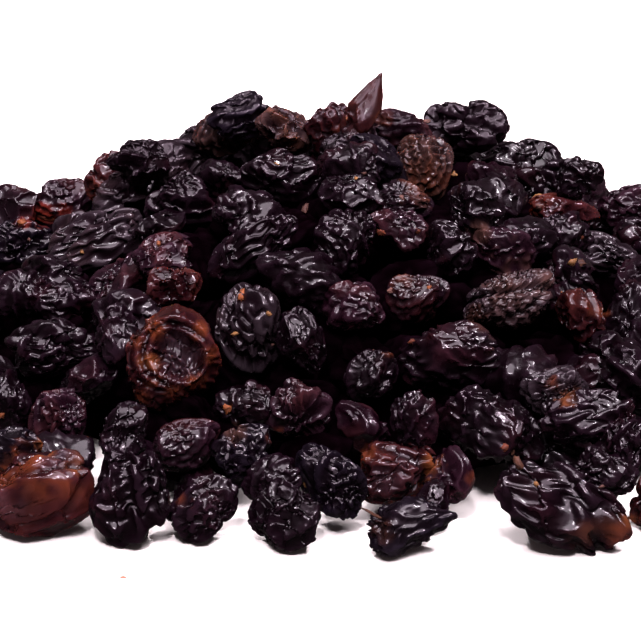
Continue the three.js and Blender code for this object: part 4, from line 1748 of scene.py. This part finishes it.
class Socket:
    """One output in a shader, with arithmetic."""

    def __init__(self, tree: bpy.types.NodeTree, socket: bpy.types.NodeSocket) -> None:
        """Takes an output and the tree that it is in."""
        self.tree, self.socket = tree, socket

    def math(self, operation: str, *others: Value, clamp: bool = False) -> "Socket":
        """Does one step of arithmetic on this and others, kept from 0 to 1 if it is to be clamped."""
        inputs = dict(enumerate([self, *others]))
        return add_node(self.tree, "ShaderNodeMath", 0, inputs, operation=operation, use_clamp=clamp)

    def __add__(self, other: Value) -> "Socket":
        """Adds."""
        return self.math("ADD", other)

    def __sub__(self, other: Value) -> "Socket":
        """Subtracts."""
        return self.math("SUBTRACT", other)

    def __mul__(self, other: Value) -> "Socket":
        """Multiplies."""
        return self.math("MULTIPLY", other)

    def __rsub__(self, other: float) -> "Socket":
        """Subtracts this from a number."""
        return (self * -1.0) + other

    __radd__ = __add__
    __rmul__ = __mul__

    def clamped(self) -> "Socket":
        """Keeps the value from 0 to 1."""
        return self.math("ADD", 0.0, clamp=True)


def feed(node: bpy.types.Node, inputs: dict) -> None:
    """Fills in a node's inputs.

    Args:
        node: The node.
        inputs: The value or link of each, by name or number.
    """
    for name, value in inputs.items():
        if isinstance(value, Socket):
            value.tree.links.new(value.socket, node.inputs[name])
        else:
            node.inputs[name].default_value = value


def add_node(
    tree: bpy.types.NodeTree, kind: str, output: str | int, inputs: dict | None = None, **settings: object
) -> Socket:
    """Adds a node and takes one of its outputs.

    Args:
        tree: The node tree.
        kind: The node's type.
        output: The output's name or number.
        inputs: The value or link of each input.
        settings: The node's other settings, which are set first.

    Returns:
        The output.
    """
    made = tree.nodes.new(kind)
    for name, value in settings.items():
        setattr(made, name, value)
    feed(made, inputs or {})
    return Socket(tree, made.outputs[output])


def new_material(name: str) -> tuple[bpy.types.Material, bpy.types.Node]:
    """Makes a material.

    Args:
        name: Its name.

    Returns:
        The material and its shader node.
    """
    made = bpy.data.materials.new(name)
    made.use_nodes = True
    return made, made.node_tree.nodes["Principled BSDF"]


@dataclass(frozen=True)
class Finish:
    """How a family of skins takes the light.

    Attributes:
        name: Its name.
        roughness: Its base roughness.
        specular: How strongly it mirrors.
        glow: How much light passes through its thin folds.
        coat: How oily its oiliest patches are.
        coat_roughness: How dull the oil is.
        specular_tint: The mirrored light's colour.
        glow_radius: How far each colour of light passes, and the whole in metres.
        bump: The fine creases' strength, and their height in metres.
    """

    MOTTLE = (900.0, 5.0)
    GRAIN = (3600.0, 3.0)
    OIL = (260.0, 2.0)
    CREASES = (1100.0, 3.0, "RIDGED_MULTIFRACTAL")
    SMOOTHEST = 0.12

    name: str
    roughness: float
    specular: float
    glow: float = 0.0
    coat: float = 0.0
    coat_roughness: float = 0.12
    specular_tint: tuple[float, ...] = (1.0, 0.74, 0.92, 1.0)
    glow_radius: tuple[Colour, float] = ((0.8, 0.25, 0.1), 0.0015)
    bump: Range = (0.6, 0.00015)

    def noise(self, place: Socket, scale: float, detail: float, kind: str = "FBM", **inputs: float) -> Socket:
        """Adds a noise of one scale, detail and type that follows a place, and gives its value."""
        inputs = {"Vector": place, "Scale": scale, "Detail": detail, **inputs}
        return add_node(place.tree, "ShaderNodeTexNoise", 0, inputs, noise_type=kind)

    def material(self) -> bpy.types.Material:
        """Builds the material, whose colour and relief come from the mesh.

        Returns:
            The material.
        """
        made, shader = new_material(self.name)
        tree = made.node_tree
        tint = add_node(tree, "ShaderNodeAttribute", "Color", attribute_name="tint")
        relief = add_node(tree, "ShaderNodeAttribute", "Fac", attribute_name="relief")
        place = add_node(tree, "ShaderNodeTexCoord", "Object")
        mottle, grain, oily = (self.noise(place, *sizes) for sizes in (self.MOTTLE, self.GRAIN, self.OIL))
        creases = self.noise(place, *self.CREASES, Roughness=0.6, Distortion=0.5)
        shade = 0.24 + 0.54 * mottle
        colour = add_node(tree, "ShaderNodeVectorMath", 0, {0: tint, "Scale": shade}, operation="SCALE")
        rough = self.roughness + 0.22 * (mottle - 0.5) - 0.10 * relief + 0.5 * (oily - 0.5)
        height = creases * 0.5 + grain * 0.12
        strength, distance = self.bump
        bump_inputs = {"Height": height, "Strength": strength, "Distance": distance}
        feed(shader, {
            "Base Color": colour,
            "Roughness": rough.math("MAXIMUM", self.SMOOTHEST).clamped(),
            "Normal": add_node(tree, "ShaderNodeBump", 0, bump_inputs),
            "Specular IOR Level": self.specular,
            "Specular Tint": self.specular_tint,
            "Subsurface Weight": self.glow,
            "Subsurface Radius": self.glow_radius[0],
            "Subsurface Scale": self.glow_radius[1],
        })
        if self.coat:
            coat = (1.6 * oily - 0.4).clamped() * self.coat
            feed(shader, {"Coat Weight": coat, "Coat Roughness": self.coat_roughness})
        return made


DARK_FINISH = Finish("dark_skin", 0.27, 0.11, 0.0, 0.36)
RIPE_FINISH = Finish("ripe_skin", 0.24, 0.10, 0.08, 0.28)
FAR_DARK_FINISH = Finish("far_dark_skin", 0.35, 0.14, 0.0, 0.12)
FAR_RIPE_FINISH = Finish("far_ripe_skin", 0.35, 0.14, 0.10, 0.12)
# Painted shade: the inner layer's dull copy of the skin finish, which mirrors nothing
SHADED_FINISH = Finish("shaded_skin", 0.80, 0.0)
# The mound's finish, matt and unmirroring, to keep its painted shade dark
INSIDE_FINISH = Finish("heap_inside_shade", 0.95, 0.0)
CRUMB_FINISH = Finish("stalk_crumb", 0.70, 0.20)


@dataclass
class Mound:
    """A near-black sheet of painted shade for the heap's inside, seen only deep between the currants.

    Attributes:
        form: The heap's outer surface.
        depth: How deep it lies under that.
        share: How much of the heap's width it has.
        rings: How many rings of points it has.
        spokes: How many points a ring has.
        roughness: How far its points are off the smooth shape.
        lowest: The least height of its slopes.
        foot: The height of its underside.
    """

    form: HeapForm
    depth: float = 10.0
    share: float = 0.66
    rings: int = 22
    spokes: int = 64
    roughness: float = 0.5
    lowest: float = 0.05
    foot: float = 0.03

    def points(self) -> np.ndarray:
        """Spreads its points.

        Returns:
            The top, each ring, the underside's ring and the underside's middle.
        """
        rng = np.random.default_rng(5)
        places = [(0.0, 0.0, self.form.height(0, 0) - self.depth)]
        width = self.form.half_width
        for ring in range(1, self.rings + 1):
            for spoke in range(self.spokes):
                angle = TURN * spoke / self.spokes
                spread = self.form.spread(math.cos(angle) * width, math.sin(angle) * width)
                scale = self.share * ring / self.rings * width / spread
                x, y = math.cos(angle) * scale, math.sin(angle) * scale
                height = self.form.height(x, y) - self.depth + rng.uniform(-self.roughness, self.roughness)
                places.append((x, y, max(height, self.lowest)))
        places.extend([(x, y, self.foot) for x, y, _ in places[-self.spokes:]])
        return np.array([*places, (0.0, 0.0, self.foot)])

    def build(self, material: bpy.types.Material) -> bpy.types.Object:
        """Builds the mound.

        Args:
            material: Its material.

        Returns:
            The object.
        """
        sides = [(spoke, (spoke + 1) % self.spokes) for spoke in range(self.spokes)]
        faces = [(0, 1 + spoke, 1 + following) for spoke, following in sides]
        for ring in range(self.rings - 1):
            inner, outer = 1 + ring * self.spokes, 1 + (ring + 1) * self.spokes
            for spoke, following in sides:
                faces.append((inner + spoke, outer + spoke, outer + following))
                faces.append((inner + spoke, outer + following, inner + following))
        foot = 1 + (self.rings - 1) * self.spokes
        under, centre = foot + self.spokes, foot + 2 * self.spokes
        for spoke, following in sides:
            faces.append((foot + spoke, under + spoke, foot + following))
            faces.append((foot + following, under + spoke, under + following))
            faces.append((centre, under + following, under + spoke))
        places = self.points()
        draft = MeshDraft()
        draft.add(places, np.array(faces), np.tile(np.array(INSIDE_SHADE), (len(places), 1)), np.zeros(len(places)))
        return draft.to_object("heap_inside_shade", material)


@dataclass
class Surroundings:
    """The white surface, the light and the camera.

    Attributes:
        eye: Where the camera stands.
        far: How far the surface reaches, in metres.
        dome: The backdrop's radius.
        lamp_colour: The lamps' colour.
    """

    LAMPS = (
        ("top", (0.04, -0.13, 0.50), 0.85, 7.0, "SUN"),
        ("spark_right", (0.22, -0.05, 0.40), 0.04, 2.2, "AREA"),
        ("spark_left", (-0.20, 0.06, 0.44), 0.04, 1.5, "AREA"),
        ("spark_front", (-0.04, -0.34, 0.42), 0.05, 2.2, "AREA"),
    )

    eye: Eye
    far: float = 3.0
    dome: float = 2.9
    lamp_colour: Colour = (1.0, 0.95, 1.0)

    def stage(self, name: str, mesh: bpy.types.Mesh, inputs: dict) -> bpy.types.Object:
        """Adds something that isn't part of the heap.

        Args:
            name: Its name.
            mesh: Its mesh.
            inputs: Its shader's values.

        Returns:
            The object, hidden from mirrored rays.
        """
        material, shader = new_material(f"white_{name}")
        feed(shader, inputs)
        mesh.materials.append(material)
        made = place_in_scene(name, mesh)
        made.visible_glossy = False
        return made

    def floor(self) -> None:
        """Lays the white surface."""
        far, mesh = self.far, bpy.data.meshes.new("floor")
        mesh.from_pydata([(-far, -far, 0), (far, -far, 0), (far, far, 0), (-far, far, 0)], [], [(0, 1, 2, 3)])
        self.stage("floor", mesh, {"Base Color": (0.95, 0.86, 0.85, 1), "Roughness": 0.55})

    def backdrop(self) -> None:
        """Closes off the view past the white surface with white that gives no light."""
        mesh = bpy.data.meshes.new("backdrop")
        dome = bmesh.new()
        bmesh.ops.create_icosphere(dome, subdivisions=4, radius=self.dome)
        dome.to_mesh(mesh)
        dome.free()
        white = {"Base Color": (0, 0, 0, 1), "Emission Color": (1, 1, 1, 1), "Emission Strength": 1.0}
        made = self.stage("backdrop", mesh, white)
        made.visible_diffuse = made.visible_shadow = made.visible_transmission = False

    def lamp(self, name: str, place: Colour, size: float, power: float, kind: str) -> None:
        """Hangs a soft lamp that looks at the heap.

        Args:
            name: Its name.
            place: Where it hangs, in metres.
            size: Its side in metres, or a sun's width in radians.
            power: Its power in watts, or a sun's in watts a square metre.
            kind: Its type.
        """
        light = bpy.data.lights.new(name, kind)
        setattr(light, "angle" if kind == "SUN" else "size", size)
        light.color = self.lamp_colour
        light.energy = power
        made = place_in_scene(name, light)
        made.location = place
        made.rotation_mode = "QUATERNION"
        made.rotation_quaternion = (Vector((0, 0, 0.01)) - Vector(place)).to_track_quat("-Z", "Y")

    def light(self) -> None:
        """Lights the scene."""
        world = bpy.data.worlds.new("studio")
        world.use_nodes = True
        feed(world.node_tree.nodes["Background"], {"Color": (1.0, 0.80, 0.84, 1), "Strength": 0.12})
        bpy.context.scene.world = world
        for lamp in self.LAMPS:
            self.lamp(*lamp)
        bpy.context.scene.view_settings.view_transform = "Standard"

    def camera(self) -> None:
        """Sets up the camera."""
        data = bpy.data.cameras.new("camera")
        data.sensor_width = SENSOR
        data.lens = SENSOR * EYE_DISTANCE / PICTURE_SIDE
        data.clip_start = 0.01
        made = place_in_scene("camera", data)
        axes = Matrix((self.eye.right, self.eye.up, -self.eye.forward)).transposed().to_4x4()
        made.matrix_world = Matrix.Translation(Vector(self.eye.place * MM)) @ axes
        bpy.context.scene.camera = made


class Heap:
    """All pieces of the heap."""

    RIPE = (Skin.WINE, Skin.BROWN, Skin.RED, Skin.AMBER)
    PROMINENT_SIZE = 33.0
    PROMINENT_TOP = 40.0
    RIM_SPREAD = 0.78
    ZONES = ((13.0, "front"), (27.0, "middle"), (38.0, "upper"), (math.inf, "crest"))
    FINISHES = (DARK_FINISH, RIPE_FINISH, FAR_DARK_FINISH, FAR_RIPE_FINISH, SHADED_FINISH)

    def __init__(self) -> None:
        """Lays out the currants and relaxes the skins."""
        self.layout = HeapLayout()
        self.outer = self.layout.outer()
        self.inner = self.layout.inner(self.outer)
        LOG.info("outer %d, inner %d", len(self.outer), len(self.inner))
        self.maker = CurrantMaker(ShapeShelf(), self.layout.eye)
        self.rng = np.random.default_rng(12)
        self.drafts: dict[str, MeshDraft] = {}

    def attach(self, piece: bpy.types.Object) -> None:
        """Hangs a piece on the body.

        Args:
            piece: The piece.
        """
        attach(piece, BODY)
        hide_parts(NODE)
        LOG.info("%s: %d triangles", piece.name, len(piece.data.polygons))

    def zone(self, currant: Currant) -> str:
        """Names the part of the heap that a currant is in.

        Args:
            currant: The currant.

        Returns:
            The zone's name.
        """
        if currant.row is None:
            return "left" if currant.middle[0] < 0 else "right"
        return next(name for top, name in self.ZONES if currant.row.up < top)

    def fineness(self, currant: Currant) -> Fineness:
        """Chooses how fine a currant is.

        Args:
            currant: The currant.

        Returns:
            Its fineness.
        """
        if currant.row is None or currant.row.stand < 0:
            return Fineness.AROUND
        is_large = currant.row.length * currant.row.width > self.PROMINENT_SIZE
        return Fineness.PROMINENT if is_large and currant.row.up < self.PROMINENT_TOP else Fineness.SHOWN

    def add(
        self, number: int, currant: Currant, zone: str, fineness: Fineness, mix: dict[Skin, float]
    ) -> None:
        """Adds one currant to its draft.

        Args:
            number: Its number.
            currant: The currant.
            zone: The part of the heap that it is in.
            fineness: How fine it is.
            mix: How often each kind comes.
        """
        kinds = list(mix)
        drawn = kinds[int(self.rng.choice(len(kinds), p=list(mix.values())))]
        kind = currant.row.skin if currant.row else drawn
        family = "ripe" if kind in self.RIPE else "dark"
        draft = self.drafts.setdefault(f"{family}_currants_{zone}", MeshDraft())
        self.maker.make(number, currant, kind, fineness, draft)

    def finish(self, name: str) -> Finish:
        """Chooses the finish of a piece of currants.

        Args:
            name: The piece's name.

        Returns:
            Its finish.
        """
        # The inner layer gets the shaded finish, as painted shade
        if name.endswith("inside"):
            return SHADED_FINISH
        dark, ripe, far_dark, far_ripe = self.FINISHES[:4]
        near, far = (ripe, far_ripe) if name.startswith("ripe") else (dark, far_dark)
        return far if name.endswith("crest") else near

    def build(self) -> None:
        """Builds every piece."""
        for number, currant in enumerate(self.outer):
            is_between = currant.middle[1] < 0 and abs(currant.middle[0]) < FRONT_HALF_WIDTH
            mix = BETWEEN_MIX if is_between else MIX
            self.add(number, currant, self.zone(currant), self.fineness(currant), mix)
        for number, currant in enumerate(self.inner, len(self.outer)):
            if self.layout.form.spread(*currant.middle[:2]) > self.RIM_SPREAD:
                self.add(number, currant, self.zone(currant), Fineness.RIM, RIM_MIX)
            else:
                # The rest are painted shade: the darkened skin under a dull finish
                self.add(number, currant, "inside", Fineness.INNER, INNER_MIX)
        materials = {finish: finish.material() for finish in self.FINISHES}
        skins = []
        for name, draft in self.drafts.items():
            skins.append(draft.to_object(name, materials[self.finish(name)]))
            self.attach(skins[-1])
        bpy.context.view_layer.update()
        self.attach(CrumbMaker(self.layout.eye, skins).build(CRUMB_FINISH.material()))
        self.attach(Mound(self.layout.form).build(INSIDE_FINISH.material()))


def main() -> None:
    """Builds the scene."""
    logging.basicConfig(level=logging.INFO, format="%(message)s")
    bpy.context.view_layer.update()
    heap = Heap()
    heap.build()
    surroundings = Surroundings(heap.layout.eye)
    surroundings.floor()
    surroundings.backdrop()
    surroundings.light()
    surroundings.camera()
    bpy.context.view_layer.update()


if __name__ == "__main__":
    main()
